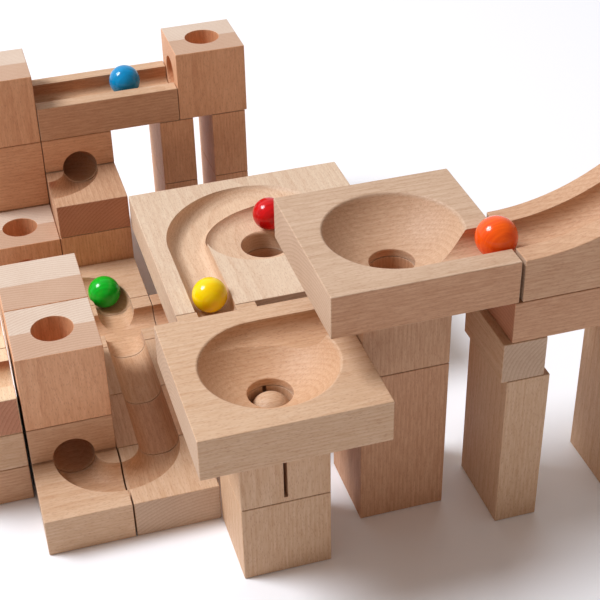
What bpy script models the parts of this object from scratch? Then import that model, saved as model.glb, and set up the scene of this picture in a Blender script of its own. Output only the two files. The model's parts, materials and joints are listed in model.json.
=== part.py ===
"""Wooden marble run stacked from loose beech blocks, with balls in its lanes.

Every block stands on one plan grid of cells, i along X and j along Y, and on half-block layers k.
Lanes, bores and funnels are cut on the centre lines of the cells, so that neighbours line up.
Lengths are metres, +Z is up, and the origin is the middle of the footprint at floor level.
"""

import math

import bmesh
import bpy
from mathutils import Matrix, Vector

# Module of the blocks
CUBE = 0.045  # plan edge of a full block
LAYER = 0.0225  # height of a half block
SIDE_GAP = 0.0004  # air between neighbours
STACK_GAP = 0.0003  # air between a block and the one under it
POST_W = 0.0223  # width of a narrow post

# Balls and the ways cut for them
BALL_D = 0.020
BALL_PLAY = 0.002  # bore diameter less ball diameter
BALL_SEAT = 0.0003  # air under a resting ball
LANE_DEPTH = 0.010  # open lane below the top of its block
ELBOW_EASE = 0.002  # bend radius of a drop less its bore radius

# Bridge trough
TROUGH_EASE = 0.002  # half width of the trough less the bore radius
TROUGH_FILLET = 0.004  # round between its floor and its walls

# Funnel plates
FUNNEL_FLOOR = 0.0025  # wood left under the lowest point of the bowl

# Spiral plate
SPIRAL_EASE = 0.0005  # half width of the spiral lane less the bore radius
SPIRAL_FILLET = 0.006  # round between the lane's floor and its outer wall
SPIRAL_FADE_DEG = 38.0  # bearing from the plate's middle at which the lane has risen to the top
SPIRAL_LAP = 0.0015  # how far the curved lane runs on into the dish
DISH_R = 0.032
DISH_RIM_DEPTH = 0.0095
DISH_FALL = 0.002  # extra depth at the middle of the dish
DISH_FILLET = 0.004
DISH_SHIFT_X = -0.0022  # middle of the dish from the middle of the plate
DISH_SHIFT_Y = 0.0027
DRAIN_R = 0.014  # hole through the floor of the dish
DRAIN_SHIFT_X = 0.0024  # axis of the hole from the middle of the plate
DRAIN_SHIFT_Y = 0.0027

# Chute, and how far its supports stand off their grid lines along X, left and right
CHUTE_RISE = 0.045  # height that the chute gains over its length
CHUTE_BEAM_SHIFT = -0.0021
CHUTE_SPACER_SHIFTS = (-0.0061, -0.0067)
CHUTE_POST_SHIFTS = (-0.0029, -0.0067)

# Slotted cube
SLOT_W = 0.002
SLOT_FLOOR = 0.003  # wood left under the slot
SLOT_SEAM = 0.00005  # between the floor and the cheeks, which are one piece of wood
HOLDER_DEPTH = 0.0175  # blind bore that holds the plain ball

# Places of the balls
BLUE_FROM_END = 0.030  # from the entry end of the trough
ORANGE_FROM_END = 0.003  # from the chute end of the upper funnel's inlet
YELLOW_FROM_END = 0.013  # from the front end of the spiral lane
GREEN_BEARING_DEG = 30.6  # round the rear right turn
RED_BEARING_DEG = 53.0  # round the dish
RED_REACH = 0.0198  # from the middle of the dish

# Grid lines that the footprint reaches, and the posts that stand off the whole lines
FIRST_I, LAST_I = -1.0, 7.0
FIRST_J, LAST_J = -1.5, 7.0
BRIDGE_POST_I = (2.7, 3.47)
CHUTE_POST_I = (5.0, 6.5)

# Facets
WAY_SIDES = 20
TURN_STEPS = 8
CHUTE_STEPS = 10
DOME_STEPS = 4
FILLET_STEPS = 4
SPIRAL_STEPS = 16
BOWL_SEGMENTS = 40
BALL_SEGMENTS = 20
OVERRUN = 0.004  # how far a cutter reaches past the face that it opens

# Values that follow
PITCH = CUBE + SIDE_GAP
LEVEL = LAYER + STACK_GAP
BALL_R = BALL_D / 2
BORE_R = (BALL_D + BALL_PLAY) / 2
LANE_LIFT = BORE_R - LANE_DEPTH  # axis of a lane above the top of its block
ELBOW_R = BORE_R + ELBOW_EASE
TROUGH_HALF_W = BORE_R + TROUGH_EASE
TURN_R = PITCH / 2
SPIRAL_HALF_W = BORE_R + SPIRAL_EASE
POST_SPAN = (POST_W + SIDE_GAP) / PITCH  # in cells

X_AXIS = Vector((1, 0, 0))
Y_AXIS = Vector((0, 1, 0))
Z_AXIS = Vector((0, 0, 1))

# Colours, linear RGB
BEECH = (0.60, 0.40, 0.25)
BEECH_PALE = (0.68, 0.48, 0.31)
BLUE = (0.01, 0.22, 0.52)
GREEN = (0.01, 0.30, 0.04)
YELLOW = (0.85, 0.58, 0.01)
RED = (0.55, 0.01, 0.02)
ORANGE = (0.80, 0.12, 0.01)


def line_x(i):
    """X of grid line i, in the middle of the gap between two cells."""
    return (i - (FIRST_I + LAST_I) / 2) * PITCH


def line_y(j):
    """Y of grid line j."""
    return (j - (FIRST_J + LAST_J) / 2) * PITCH


def floor_z(k):
    """Underside of layer k."""
    return k * LEVEL


def top_z(k):
    """Top of layer k."""
    return floor_z(k) + LAYER


def lane_z(k):
    """Axis height of the ways cut in the top of layer k."""
    return top_z(k) + LANE_LIFT


def point(i, j, z):
    """Point on the plan grid at height z."""
    return Vector((line_x(i), line_y(j), z))


def material(name, colour, roughness):
    """Principled material of one sub-part."""
    made = bpy.data.materials.new(name)
    made.use_nodes = True
    shader = made.node_tree.nodes["Principled BSDF"]
    shader.inputs["Base Color"].default_value = (*colour, 1.0)
    shader.inputs["Roughness"].default_value = roughness
    shader.inputs["Metallic"].default_value = 0.0
    return made


def add_object(name, bm, location):
    """Object from a bmesh whose points are relative to location."""
    mesh = bpy.data.meshes.new(name)
    bmesh.ops.recalc_face_normals(bm, faces=bm.faces)
    bm.to_mesh(mesh)
    bm.free()
    made = bpy.data.objects.new(name, mesh)
    made.location = location
    bpy.context.scene.collection.objects.link(made)
    return made


def add_cutter(name, bm):
    """Hidden object that only shapes others, with its points in the world frame."""
    cutter = add_object(name, bm, Vector())
    cutter.hide_render = True
    cutter.display_type = "WIRE"
    return cutter


def cut(target, *cutters):
    """Take each cutter out of the target."""
    for cutter in cutters:
        step = target.modifiers.new(cutter.name, "BOOLEAN")
        step.operation = "DIFFERENCE"
        step.solver = "EXACT"
        step.object = cutter


def box_between(low, high):
    """Box bmesh from one corner to the opposite one."""
    bm = bmesh.new()
    size = high - low
    place = Matrix.Translation((low + high) / 2) @ Matrix.Diagonal((*size, 1.0))
    bmesh.ops.create_cube(bm, size=1.0, matrix=place)
    return bm


def corners(cell, span):
    """Lowest and highest corner of the block from grid corner (i, j) and layer k."""
    i, j, k = cell
    wide, deep, layers = span
    half = Vector((SIDE_GAP / 2, SIDE_GAP / 2, 0))
    top = floor_z(k + layers) - STACK_GAP
    return point(i, j, floor_z(k)) + half, point(i + wide, j + deep, top) - half


def block_between(name, low, high, colour=BEECH):
    """Plain block from one corner to the opposite one."""
    seat = Vector(((low.x + high.x) / 2, (low.y + high.y) / 2, low.z))
    made = add_object(name, box_between(low - seat, high - seat), seat)
    made.data.materials.append(material(name, colour, 0.6))
    return made


def block(name, cell, span, colour=BEECH):
    """Plain block from grid corner (i, j) and layer k, over span cells and layers."""
    return block_between(name, *corners(cell, span), colour)


def skin(rings):
    """Closed bmesh through rings of equally many points."""
    bm = bmesh.new()
    loops = [[bm.verts.new(place) for place in ring] for ring in rings]
    for near, far in zip(loops, loops[1:]):
        for step in range(len(near)):
            after = (step + 1) % len(near)
            bm.faces.new((near[step], near[after], far[after], far[step]))
    bm.faces.new(loops[0])
    bm.faces.new(loops[-1])
    return bm


class Route:
    """Centre line of a way, drawn in one plane by straight runs and bends."""

    def __init__(self, start, heading, normal, radius=BORE_R):
        self.place = start.copy()
        self.heading = heading.copy()
        self.normal = normal.copy()
        self.radius = radius
        self.rings = []
        self.mark(radius)

    def mark(self, radius):
        """Add the ring of the way at the pen's place, with its flats on the true radius."""
        reach = radius / math.cos(math.pi / WAY_SIDES)
        side = self.normal.cross(self.heading)
        ring = []
        for step in range(WAY_SIDES):
            turn = (step + 0.5) * 2 * math.pi / WAY_SIDES
            ring.append(self.place + reach * (math.cos(turn) * self.normal + math.sin(turn) * side))
        self.rings.append(ring)

    def ahead(self, length):
        """Run straight on."""
        self.place += self.heading * length
        self.mark(self.radius)
        return self

    def bend(self, radius, angle, steps=TURN_STEPS):
        """Turn about the normal along an arc."""
        pivot = self.place + self.normal.cross(self.heading) * radius
        turn = Matrix.Rotation(angle / steps, 3, self.normal)
        for _ in range(steps):
            self.place = pivot + turn @ (self.place - pivot)
            self.heading = turn @ self.heading
            self.mark(self.radius)
        return self

    def dome(self):
        """Close the way with a round end."""
        base = self.place.copy()
        for step in range(1, DOME_STEPS + 1):
            turn = 0.95 * step / DOME_STEPS * math.pi / 2
            self.place = base + self.heading * (self.radius * math.sin(turn))
            self.mark(self.radius * math.cos(turn))
        return self

    def cutter(self, name):
        """Hidden solid of the whole way."""
        return add_cutter(name, skin(self.rings))


def straight_way(name, start, end):
    """Way from start to end, past both by the overrun."""
    heading = (end - start).normalized()
    normal = Z_AXIS if abs(heading.z) < 0.5 else X_AXIS
    route = Route(start - heading * OVERRUN, heading, normal)
    return route.ahead((end - start).length + 2 * OVERRUN).cutter(name)


def turn_way(name, start, first, second):
    """Quarter turn of a lane across one cell, from the middle of one side to the next side."""
    route = Route(start - first * OVERRUN, first, first.cross(second))
    return route.ahead(OVERRUN).bend(TURN_R, math.pi / 2).ahead(OVERRUN).cutter(name)


def drop_way(name, mouth, first, second, fall, run):
    """Way that falls along first by fall, bends, and leaves along second by run."""
    route = Route(mouth - first * OVERRUN, first, first.cross(second))
    route.ahead(OVERRUN + fall - ELBOW_R).bend(ELBOW_R, math.pi / 2)
    return route.ahead(run - ELBOW_R + OVERRUN).cutter(name)


def top_drop(name, i, j, k_top, k_lane, out):
    """Drop from the top of layer k_top in the cell at (i, j) to its side at lane height."""
    mouth = point(i + 0.5, j + 0.5, top_z(k_top))
    return drop_way(name, mouth, -Z_AXIS, out, top_z(k_top) - lane_z(k_lane), PITCH / 2)


def feeder():
    """Half blocks that bring a ball into the drop cube, and the tall lane block behind them."""
    block("feeder_base", (-1, 1, 0), (1, 1, 1), BEECH_PALE)
    block("feeder_middle", (-1, 1, 1), (1, 1, 1))
    channel = block("feeder_channel", (-1, 1, 2), (1, 1, 1), BEECH_PALE)
    lane = straight_way("cut_feeder", point(-1, 1.5, lane_z(2)), point(0, 1.5, lane_z(2)))
    cut(channel, lane)

    rear = block("feeder_rear", (-1, 2, 0), (1, 1, 3), BEECH_PALE)
    cut(rear, straight_way("cut_feeder_rear", point(-1, 2.5, lane_z(2)), point(0, 2.5, lane_z(2))))


def front_tower():
    """Drop cube over a split tunnel, the plain cubes behind it and the turns in front of it."""
    left = block("front_turn_left", (0, 0, 0), (1, 1, 1), BEECH_PALE)
    right = block("front_turn_right", (1, 0, 0), (1, 1, 1))
    cut(left, turn_way("cut_front_left", point(0.5, 1, lane_z(0)), -Y_AXIS, X_AXIS))
    cut(right, turn_way("cut_front_right", point(1.5, 1, lane_z(0)), -Y_AXIS, -X_AXIS))

    floor = block("tunnel_floor", (0, 1, 0), (1, 1, 1))
    roof = block("tunnel_roof", (0, 1, 1), (1, 1, 1))
    tunnel = top_drop("cut_tunnel", 0, 1, 1, 0, -Y_AXIS)
    cut(floor, tunnel)
    cut(roof, tunnel)

    cube = block("drop_cube", (0, 1, 2), (1, 1, 2))
    fall = straight_way("cut_drop", point(0.5, 1.5, top_z(3)), point(0.5, 1.5, floor_z(2)))
    inlet = Route(point(0, 1.5, lane_z(2)) - X_AXIS * OVERRUN, X_AXIS, Z_AXIS)
    cut(cube, fall, inlet.ahead(OVERRUN + PITCH / 2).cutter("cut_drop_inlet"))

    block("rear_cube_top", (0, 2, 2), (1, 1, 2), BEECH_PALE)
    block("rear_cube_bottom", (0, 2, 0), (1, 1, 2))


def return_lane():
    """Lane at floor level from the back drop cube to the front turns, crossed by the outlet."""
    front = block("lane_front", (1, 1, 0), (1, 1, 1))
    back = block("lane_back", (1, 2, 0), (1, 1, 1))
    crossing = block("lane_crossing", (1, 3, 0), (1, 1, 1), BEECH_PALE)
    along = straight_way("cut_lane", point(1.5, 1, lane_z(0)), point(1.5, 4, lane_z(0)))
    across = straight_way("cut_crossing", point(1, 3.5, lane_z(0)), point(2, 3.5, lane_z(0)))
    cut(front, along)
    cut(back, along)
    cut(crossing, along, across)

    end = block("lane_end", (0, 3, 0), (1, 1, 1))
    cut(end, top_drop("cut_lane_end", 0, 3, 1, 0, X_AXIS))

    right = block("rear_turn_right", (1, 4, 0), (1, 1, 1), BEECH_PALE)
    left = block("rear_turn_left", (0, 4, 0), (1, 1, 1))
    cut(right, turn_way("cut_rear_right", point(1, 4.5, lane_z(0)), X_AXIS, -Y_AXIS))
    cut(left, turn_way("cut_rear_left", point(0.5, 5, lane_z(0)), -Y_AXIS, X_AXIS))


def rear_tower():
    """Tower at the back: a ball comes off the bridge, falls, turns out and drops again."""
    block("tower_base", (0, 6, 0), (1, 1, 2))
    middle = block("tower_middle", (0, 6, 2), (1, 1, 2))
    top = block("tower_top", (0, 6, 4), (1, 1, 2), BEECH_PALE)
    cut(middle, top_drop("cut_tower_middle", 0, 6, 3, 2, X_AXIS))
    mouth = point(1, 6.5, lane_z(4))
    cut(top, drop_way("cut_tower_top", mouth, -X_AXIS, -Z_AXIS, PITCH / 2, lane_z(4) - floor_z(4)))

    block("junction_base", (1, 6, 0), (1, 1, 2))
    floor = block("junction_floor", (1, 6, 2), (1, 1, 1))
    roof = block("junction_roof", (1, 6, 3), (1, 1, 1))
    junction = turn_way("cut_junction", point(1, 6.5, lane_z(2)), X_AXIS, -Y_AXIS)
    cut(floor, junction)
    cut(roof, junction)

    block("balcony_base", (1, 5, 0), (1, 1, 2))
    balcony = block("balcony_turn", (1, 5, 2), (1, 1, 1), BEECH_PALE)
    cut(balcony, turn_way("cut_balcony", point(1.5, 6, lane_z(2)), -Y_AXIS, -X_AXIS))

    cube = block("rear_drop_cube", (0, 5, 0), (1, 1, 2), BEECH_PALE)
    cut(cube, top_drop("cut_rear_drop", 0, 5, 1, 0, -Y_AXIS))


def trough_cutter(start, end):
    """Wide groove with a flat floor and rounded feet, from start to end and past both."""
    rings = []
    for place in (start - X_AXIS * OVERRUN, end + X_AXIS * OVERRUN):
        ring = [place + Vector((0, side * TROUGH_HALF_W, OVERRUN)) for side in (1, -1)]
        for side in (-1, 1):
            foot = []
            for step in range(FILLET_STEPS + 1):
                turn = step / FILLET_STEPS * math.pi / 2
                out = TROUGH_HALF_W - TROUGH_FILLET * (1 - math.cos(turn))
                down = LANE_DEPTH - TROUGH_FILLET * (1 - math.sin(turn))
                foot.append(place + Vector((0, side * out, -down)))
            ring.extend(foot if side < 0 else reversed(foot))
        rings.append(ring)
    return add_cutter("cut_trough", skin(rings))


def bridge():
    """Trough between the tower and the entry cube, with the posts under it."""
    trough = block("bridge_trough", (1, 6, 4), (2, 1, 1))
    cut(trough, trough_cutter(point(1, 6.5, top_z(4)), point(3, 6.5, top_z(4))))
    cube = block("entry_cube", (3, 6, 4), (1, 1, 2), BEECH_PALE)
    cut(cube, top_drop("cut_entry", 3, 6, 5, 4, -X_AXIS))
    for side, i in zip(("left", "right"), BRIDGE_POST_I):
        block(f"bridge_post_{side}_lower", (i, 6, 0), (POST_SPAN, 1, 2))
        block(f"bridge_post_{side}_upper", (i, 6, 2), (POST_SPAN, 1, 2))


def lane_section(root, outward, inner, outer, depth, top):
    """Section of the spiral lane: flat floor, rounded foot on the outer side, upright walls."""
    above = top + SPIRAL_FILLET + OVERRUN
    below = top - depth
    places = [root + outward * inner + Z_AXIS * above, root + outward * inner + Z_AXIS * below]
    for step in range(FILLET_STEPS + 1):
        turn = step / FILLET_STEPS * math.pi / 2
        reach = outer - SPIRAL_FILLET * (1 - math.sin(turn))
        height = below + SPIRAL_FILLET * (1 - math.cos(turn))
        places.append(root + outward * reach + Z_AXIS * height)
    places.append(root + outward * outer + Z_AXIS * above)
    return places


def spiral_lane_cutter(middle, front_y, top):
    """Lane from the plate's front edge along its left side, then round the back, rising out."""
    inner = PITCH - SPIRAL_HALF_W
    outer = PITCH + SPIRAL_HALF_W
    start = Vector((middle.x, front_y - OVERRUN, 0))
    rings = [lane_section(start, -X_AXIS, inner, outer, LANE_DEPTH, top)]
    for step in range(SPIRAL_STEPS + 1):
        share = step / SPIRAL_STEPS
        bearing = math.radians(180 - share * (180 - SPIRAL_FADE_DEG))
        outward = Vector((math.cos(bearing), math.sin(bearing), 0))
        depth = LANE_DEPTH - share * share * (LANE_DEPTH + SPIRAL_EASE)
        lap = SPIRAL_LAP if step else 0.0
        rings.append(lane_section(middle, outward, inner - lap, outer, depth, top))
    return add_cutter("cut_spiral_lane", skin(rings))


def dish_cutter(middle, top):
    """Round dish with a gently falling floor, turned about its own upright axis."""
    rim_floor = top - DISH_RIM_DEPTH
    profile = [(0.0, rim_floor - DISH_FALL)]
    for step in range(FILLET_STEPS + 1):
        turn = step / FILLET_STEPS * math.pi / 2
        reach = DISH_R - DISH_FILLET * (1 - math.sin(turn))
        profile.append((reach, rim_floor + DISH_FILLET * (1 - math.cos(turn))))
    profile.append((DISH_R, top + OVERRUN))
    profile.append((0.0, top + OVERRUN))
    bm = bmesh.new()
    verts = [bm.verts.new(middle + Vector((reach, 0, height))) for reach, height in profile]
    edges = [bm.edges.new(pair) for pair in zip(verts, verts[1:])]
    bmesh.ops.spin(
        bm, geom=verts + edges, cent=middle, axis=Z_AXIS, angle=2 * math.pi, steps=BOWL_SEGMENTS
    )
    bmesh.ops.remove_doubles(bm, verts=bm.verts, dist=1e-6)
    return add_cutter("cut_dish", bm)


def dish_middle():
    """Axis of the dish on the plan."""
    return point(3.5, 3.5, 0) + Vector((DISH_SHIFT_X, DISH_SHIFT_Y, 0))


def spiral():
    """Spiral plate, the drop under its hole, the outlet to the crossing and the start block."""
    plate = block("spiral_plate", (2, 2, 2), (3, 3, 1), BEECH_PALE)
    middle = point(3.5, 3.5, 0)
    mouth = middle + Vector((DRAIN_SHIFT_X, DRAIN_SHIFT_Y, top_z(2) + OVERRUN))
    drain = Route(mouth, -Z_AXIS, X_AXIS, DRAIN_R)
    hole = drain.ahead(LAYER + 2 * OVERRUN).cutter("cut_spiral_hole")
    front = line_y(2) + SIDE_GAP / 2
    cut(plate, spiral_lane_cutter(middle, front, top_z(2)), dish_cutter(dish_middle(), top_z(2)), hole)

    ring = block("outlet_ring", (3, 3, 1), (1, 1, 1))
    catch = block("outlet_catch", (3, 3, 0), (1, 1, 1))
    channel = block("outlet_channel", (2, 3, 0), (1, 1, 1))
    drop = top_drop("cut_outlet_drop", 3, 3, 1, 0, -X_AXIS)
    cut(ring, drop)
    cut(catch, drop)
    cut(channel, straight_way("cut_outlet", point(2, 3.5, lane_z(0)), point(3, 3.5, lane_z(0))))
    for name, j in (("front", 2), ("back", 4)):
        block(f"spiral_leg_{name}", (4, j, 0), (1, 1, 2))

    block("start_leg", (2, 1, 0), (1, 1, 2))
    start = block("start_channel", (2, 1, 2), (1, 1, 1), BEECH_PALE)
    cut(start, top_drop("cut_start", 2, 1, 3, 2, Y_AXIS))


def funnel(name, i, j, k, inlet_side, inlet_out):
    """Plate of two by two cells with a round bowl, a drain and a lane that meets it at its rim."""
    plate = block(name, (i, j, k), (2, 2, 1), BEECH_PALE)
    top = top_z(k)
    rim = TURN_R + BORE_R
    deep = LAYER - FUNNEL_FLOOR
    bowl_r = (rim**2 + deep**2) / (2 * deep)
    bm = bmesh.new()
    ball_middle = point(i + 1, j + 1, top + bowl_r - deep)
    bmesh.ops.create_uvsphere(
        bm, u_segments=BOWL_SEGMENTS, v_segments=BOWL_SEGMENTS // 2, radius=bowl_r,
        matrix=Matrix.Translation(ball_middle),
    )
    bowl = add_cutter(f"cut_{name}_bowl", bm)
    drain = straight_way(f"cut_{name}_drain", point(i + 1, j + 1, top), point(i + 1, j + 1, floor_z(k)))
    mouth = point(i + 1, j + 1, lane_z(k)) + inlet_side * TURN_R + inlet_out * PITCH
    inlet = Route(mouth + inlet_out * OVERRUN, -inlet_out, Z_AXIS)
    inlet.ahead(PITCH + OVERRUN).dome()
    cut(plate, bowl, drain, inlet.cutter(f"cut_{name}_inlet"))
    return plate


def funnels():
    """Upper and lower funnel plates on their columns, the upper one draining into the lower."""
    funnel("upper_funnel", 3, -1, 6, -Y_AXIS, X_AXIS)
    elbow = block("upper_elbow", (3.5, -0.5, 4), (1, 1, 2))
    cut(elbow, top_drop("cut_upper_elbow", 3.5, -0.5, 5, 4, -X_AXIS))
    block("upper_column", (3.5, -0.5, 0), (1, 1, 4))

    funnel("lower_funnel", 1.5, -1.5, 4, Y_AXIS, X_AXIS)
    slotted_cube()
    block("lower_column", (2, -1, 0), (1, 1, 2))


def slotted_cube():
    """Cube with a blind bore from above and a narrow slot through it, as a floor and two cheeks."""
    low, high = corners((2, -1, 2), (1, 1, 2))
    middle = (low + high) / 2
    seam = low.z + SLOT_FLOOR
    block_between("slotted_cube_floor", low, Vector((high.x, high.y, seam - SLOT_SEAM)))
    left_end = Vector((middle.x - SLOT_W / 2, high.y, high.z))
    right_start = Vector((middle.x + SLOT_W / 2, low.y, seam))
    left = block_between("slotted_cube_left", Vector((low.x, low.y, seam)), left_end)
    right = block_between("slotted_cube_right", right_start, high)
    mouth = Vector((middle.x, middle.y, high.z + OVERRUN))
    holder = Route(mouth, -Z_AXIS, X_AXIS).ahead(OVERRUN + HOLDER_DEPTH).cutter("cut_holder")
    cut(left, holder)
    cut(right, holder)


def chute():
    """Curved chute on a beam and two posts, which runs a ball into the upper funnel."""
    half = SIDE_GAP / 2
    low = point(5, -1, floor_z(6)) + Vector((half, half, 0))
    high = point(7, 0, 0) - Vector((half, half, 0))
    length = high.x - low.x
    radius = (length**2 + CHUTE_RISE**2) / (2 * CHUTE_RISE)
    sweep = math.asin(length / radius)
    outline = [Vector((length, 0, 0)), Vector((0, 0, 0))]
    for step in range(CHUTE_STEPS + 1):
        turn = sweep * step / CHUTE_STEPS
        outline.append(Vector((radius * math.sin(turn), 0, LAYER + radius * (1 - math.cos(turn)))))
    bm = bmesh.new()
    side = bm.faces.new([bm.verts.new(place) for place in outline])
    grown = bmesh.ops.extrude_face_region(bm, geom=[side])
    moved = [item for item in grown["geom"] if isinstance(item, bmesh.types.BMVert)]
    bmesh.ops.translate(bm, verts=moved, vec=Vector((0, high.y - low.y, 0)))
    body = add_object("chute", bm, low)
    body.data.materials.append(material("chute", BEECH_PALE, 0.6))

    start = Vector((low.x - OVERRUN, line_y(-0.5), lane_z(6)))
    route = Route(start, X_AXIS, -Y_AXIS).ahead(OVERRUN)
    cut(body, route.bend(radius - LANE_LIFT, sweep, CHUTE_STEPS).ahead(OVERRUN).cutter("cut_chute"))

    block("chute_beam", (5 + CHUTE_BEAM_SHIFT / PITCH, -1, 5), (2, 1, 1))
    sides = zip(("left", "right"), CHUTE_POST_I, CHUTE_SPACER_SHIFTS, CHUTE_POST_SHIFTS)
    for side_name, i, spacer_shift, post_shift in sides:
        block(f"chute_spacer_{side_name}", (i + spacer_shift / PITCH, -1, 4), (POST_SPAN, 1, 1))
        block(f"chute_post_{side_name}", (i + post_shift / PITCH, -1, 0), (POST_SPAN, 1, 4))


def ball(name, colour, place, axis=None):
    """Turned wooden ball, hung on an empty where it moves round an axis."""
    bm = bmesh.new()
    bmesh.ops.create_uvsphere(
        bm, u_segments=BALL_SEGMENTS, v_segments=BALL_SEGMENTS * 3 // 5, radius=BALL_R
    )
    made = add_object(name, bm, place if axis is None else place - axis)
    made.data.shade_smooth()
    made.data.materials.append(material(name, colour, 0.15))
    if axis is not None:
        pivot = bpy.data.objects.new(f"{name}_axis", None)
        pivot.location = axis
        bpy.context.scene.collection.objects.link(pivot)
        made.parent = pivot


def balls():
    """Five lacquered balls on their lanes and a plain one in the slotted cube."""
    seat = BALL_SEAT + BALL_R - LANE_DEPTH
    blue_x = Vector((-SIDE_GAP / 2 - BLUE_FROM_END, 0, 0))
    ball("ball_blue", BLUE, point(3, 6.5, top_z(4) + seat) + blue_x)
    orange_x = Vector((-SIDE_GAP / 2 - ORANGE_FROM_END, 0, 0))
    ball("ball_orange", ORANGE, point(5, -0.5, top_z(6) + seat) + orange_x)
    yellow_y = Vector((0, SIDE_GAP / 2 + YELLOW_FROM_END, 0))
    ball("ball_yellow", YELLOW, point(2.5, 2, top_z(2) + seat) + yellow_y)

    bearing = math.radians(GREEN_BEARING_DEG)
    green_axis = point(1, 4, top_z(0) + seat)
    arm = Vector((math.cos(bearing), math.sin(bearing), 0)) * TURN_R
    ball("ball_green", GREEN, green_axis + arm, green_axis)

    bearing = math.radians(RED_BEARING_DEG)
    slope = DISH_FALL / (DISH_R - DISH_FILLET)
    depth = DISH_RIM_DEPTH + DISH_FALL - slope * RED_REACH
    lift = (BALL_R + BALL_SEAT) * math.sqrt(1 + slope**2)
    red_axis = dish_middle() + Z_AXIS * (top_z(2) - depth + lift)
    arm = Vector((math.cos(bearing), math.sin(bearing), 0)) * RED_REACH
    ball("ball_red", RED, red_axis + arm, red_axis)

    holder_floor = top_z(3) - HOLDER_DEPTH
    ball("ball_plain", BEECH_PALE, point(2.5, -0.5, holder_floor + BALL_SEAT + BALL_R))


def main():
    """Build the whole run in an empty scene."""
    for old in list(bpy.data.objects):
        bpy.data.objects.remove(old, do_unlink=True)
    feeder()
    front_tower()
    return_lane()
    rear_tower()
    bridge()
    spiral()
    funnels()
    chute()
    balls()


main()
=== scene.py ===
"""Looks of a wooden marble run: sanded beech blocks, lacquered balls and a white studio.

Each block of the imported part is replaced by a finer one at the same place. Its edges are rounded,
its ways are cut with rounded rims, and its beech is a solid figure that runs through every face.
Lengths are metres in the part's own frame, with +Z up.
"""

import json
import logging
import math
import zlib
from collections.abc import Iterable, Mapping
from dataclasses import dataclass, field
from enum import Enum

import bmesh
import bpy
from mathutils import Matrix, Vector

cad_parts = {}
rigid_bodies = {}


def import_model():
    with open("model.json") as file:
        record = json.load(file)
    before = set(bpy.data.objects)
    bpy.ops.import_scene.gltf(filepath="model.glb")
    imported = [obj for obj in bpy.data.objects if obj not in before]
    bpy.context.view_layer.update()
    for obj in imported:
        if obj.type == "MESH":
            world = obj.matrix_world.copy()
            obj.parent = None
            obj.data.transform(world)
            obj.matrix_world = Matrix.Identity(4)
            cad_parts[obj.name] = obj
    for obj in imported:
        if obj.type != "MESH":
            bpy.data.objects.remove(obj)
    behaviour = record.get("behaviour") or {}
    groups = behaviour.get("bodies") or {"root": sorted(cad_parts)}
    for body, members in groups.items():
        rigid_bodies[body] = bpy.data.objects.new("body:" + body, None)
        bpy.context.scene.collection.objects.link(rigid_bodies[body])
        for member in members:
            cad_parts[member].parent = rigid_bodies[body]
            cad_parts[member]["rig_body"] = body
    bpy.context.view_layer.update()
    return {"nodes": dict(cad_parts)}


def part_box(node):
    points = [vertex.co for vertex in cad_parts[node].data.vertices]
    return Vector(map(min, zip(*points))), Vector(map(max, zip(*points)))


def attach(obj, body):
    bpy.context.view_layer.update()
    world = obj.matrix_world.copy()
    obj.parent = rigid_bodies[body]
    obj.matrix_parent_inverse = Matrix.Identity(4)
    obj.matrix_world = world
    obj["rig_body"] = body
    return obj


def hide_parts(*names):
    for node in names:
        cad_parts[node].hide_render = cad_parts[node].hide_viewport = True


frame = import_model()

LOG = logging.getLogger("marble_run")
FULL_TURN = 2 * math.pi
QUARTER_TURN = math.pi / 2
UP = Vector((0.0, 0.0, 1.0))
ORIGIN = Vector((0.0, 0.0, 0.0))
SHARP = 0.5  # angle in radians over which an edge of the stock is rounded
ONE_POINT = 1e-7  # turned points closer than this are one
SLIVER = 1e-6  # shortest edge that is kept after a cut
CUT_SEAM = 2e-6  # points closer than this after a cut are one
ON_RING = (1e-5, 1e-6)  # how near a point is to a ring of a lathe, in radius and in height

Tree = bpy.types.NodeTree
Socket = bpy.types.NodeSocket
Pair = tuple[float, float]
Triple = tuple[float, float, float]
Rgba = tuple[float, float, float, float]
BMesh = bmesh.types.BMesh
Point = bmesh.types.BMVert
MeshPart = bmesh.types.BMFace | bmesh.types.BMEdge | Point


def linear(hex_colour: str) -> Rgba:
    """Turn an sRGB hex colour into linear RGBA.

    Args:
        hex_colour: Colour such as "#E6C7A3".

    Returns:
        Red, green and blue in linear light, and an alpha of 1.
    """
    parts = (int(hex_colour[at : at + 2], 16) / 255 for at in (1, 3, 5))
    red, green, blue = (
        part / 12.92 if part <= 0.04045 else ((part + 0.055) / 1.055) ** 2.4 for part in parts
    )
    return red, green, blue, 1.0


def feed(tree: Tree, node: bpy.types.Node, sockets: Mapping[str | int, object]) -> None:
    """Give a node's inputs their values and links.

    Args:
        tree: Node tree that holds the node.
        node: The node.
        sockets: Input names or numbers, each with a value or with the output that feeds it.
    """
    for key, value in sockets.items():
        if isinstance(value, Socket):
            tree.links.new(value, node.inputs[key])
        else:
            node.inputs[key].default_value = value


def add_node(
    tree: Tree,
    kind: str,
    sockets: Mapping[str | int, object] | None = None,
    **settings: object,
) -> bpy.types.Node:
    """Add a node with its settings and links.

    Args:
        tree: Node tree that takes the node.
        kind: Blender's name of the node type.
        sockets: Input names or numbers, each with a value or with the output that feeds it.
        settings: Properties of the node.

    Returns:
        The new node.
    """
    node = tree.nodes.new(kind)
    for name, value in settings.items():
        setattr(node, name, value)
    feed(tree, node, sockets or {})
    return node


def new_material(name: str) -> tuple[bpy.types.Material, Tree, bpy.types.Node]:
    """Make an empty node material.

    Args:
        name: Name of the material.

    Returns:
        The material, its node tree and its Principled shader.
    """
    material = bpy.data.materials.new(name)
    material.use_nodes = True
    tree = material.node_tree
    return material, tree, tree.nodes["Principled BSDF"]


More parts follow.
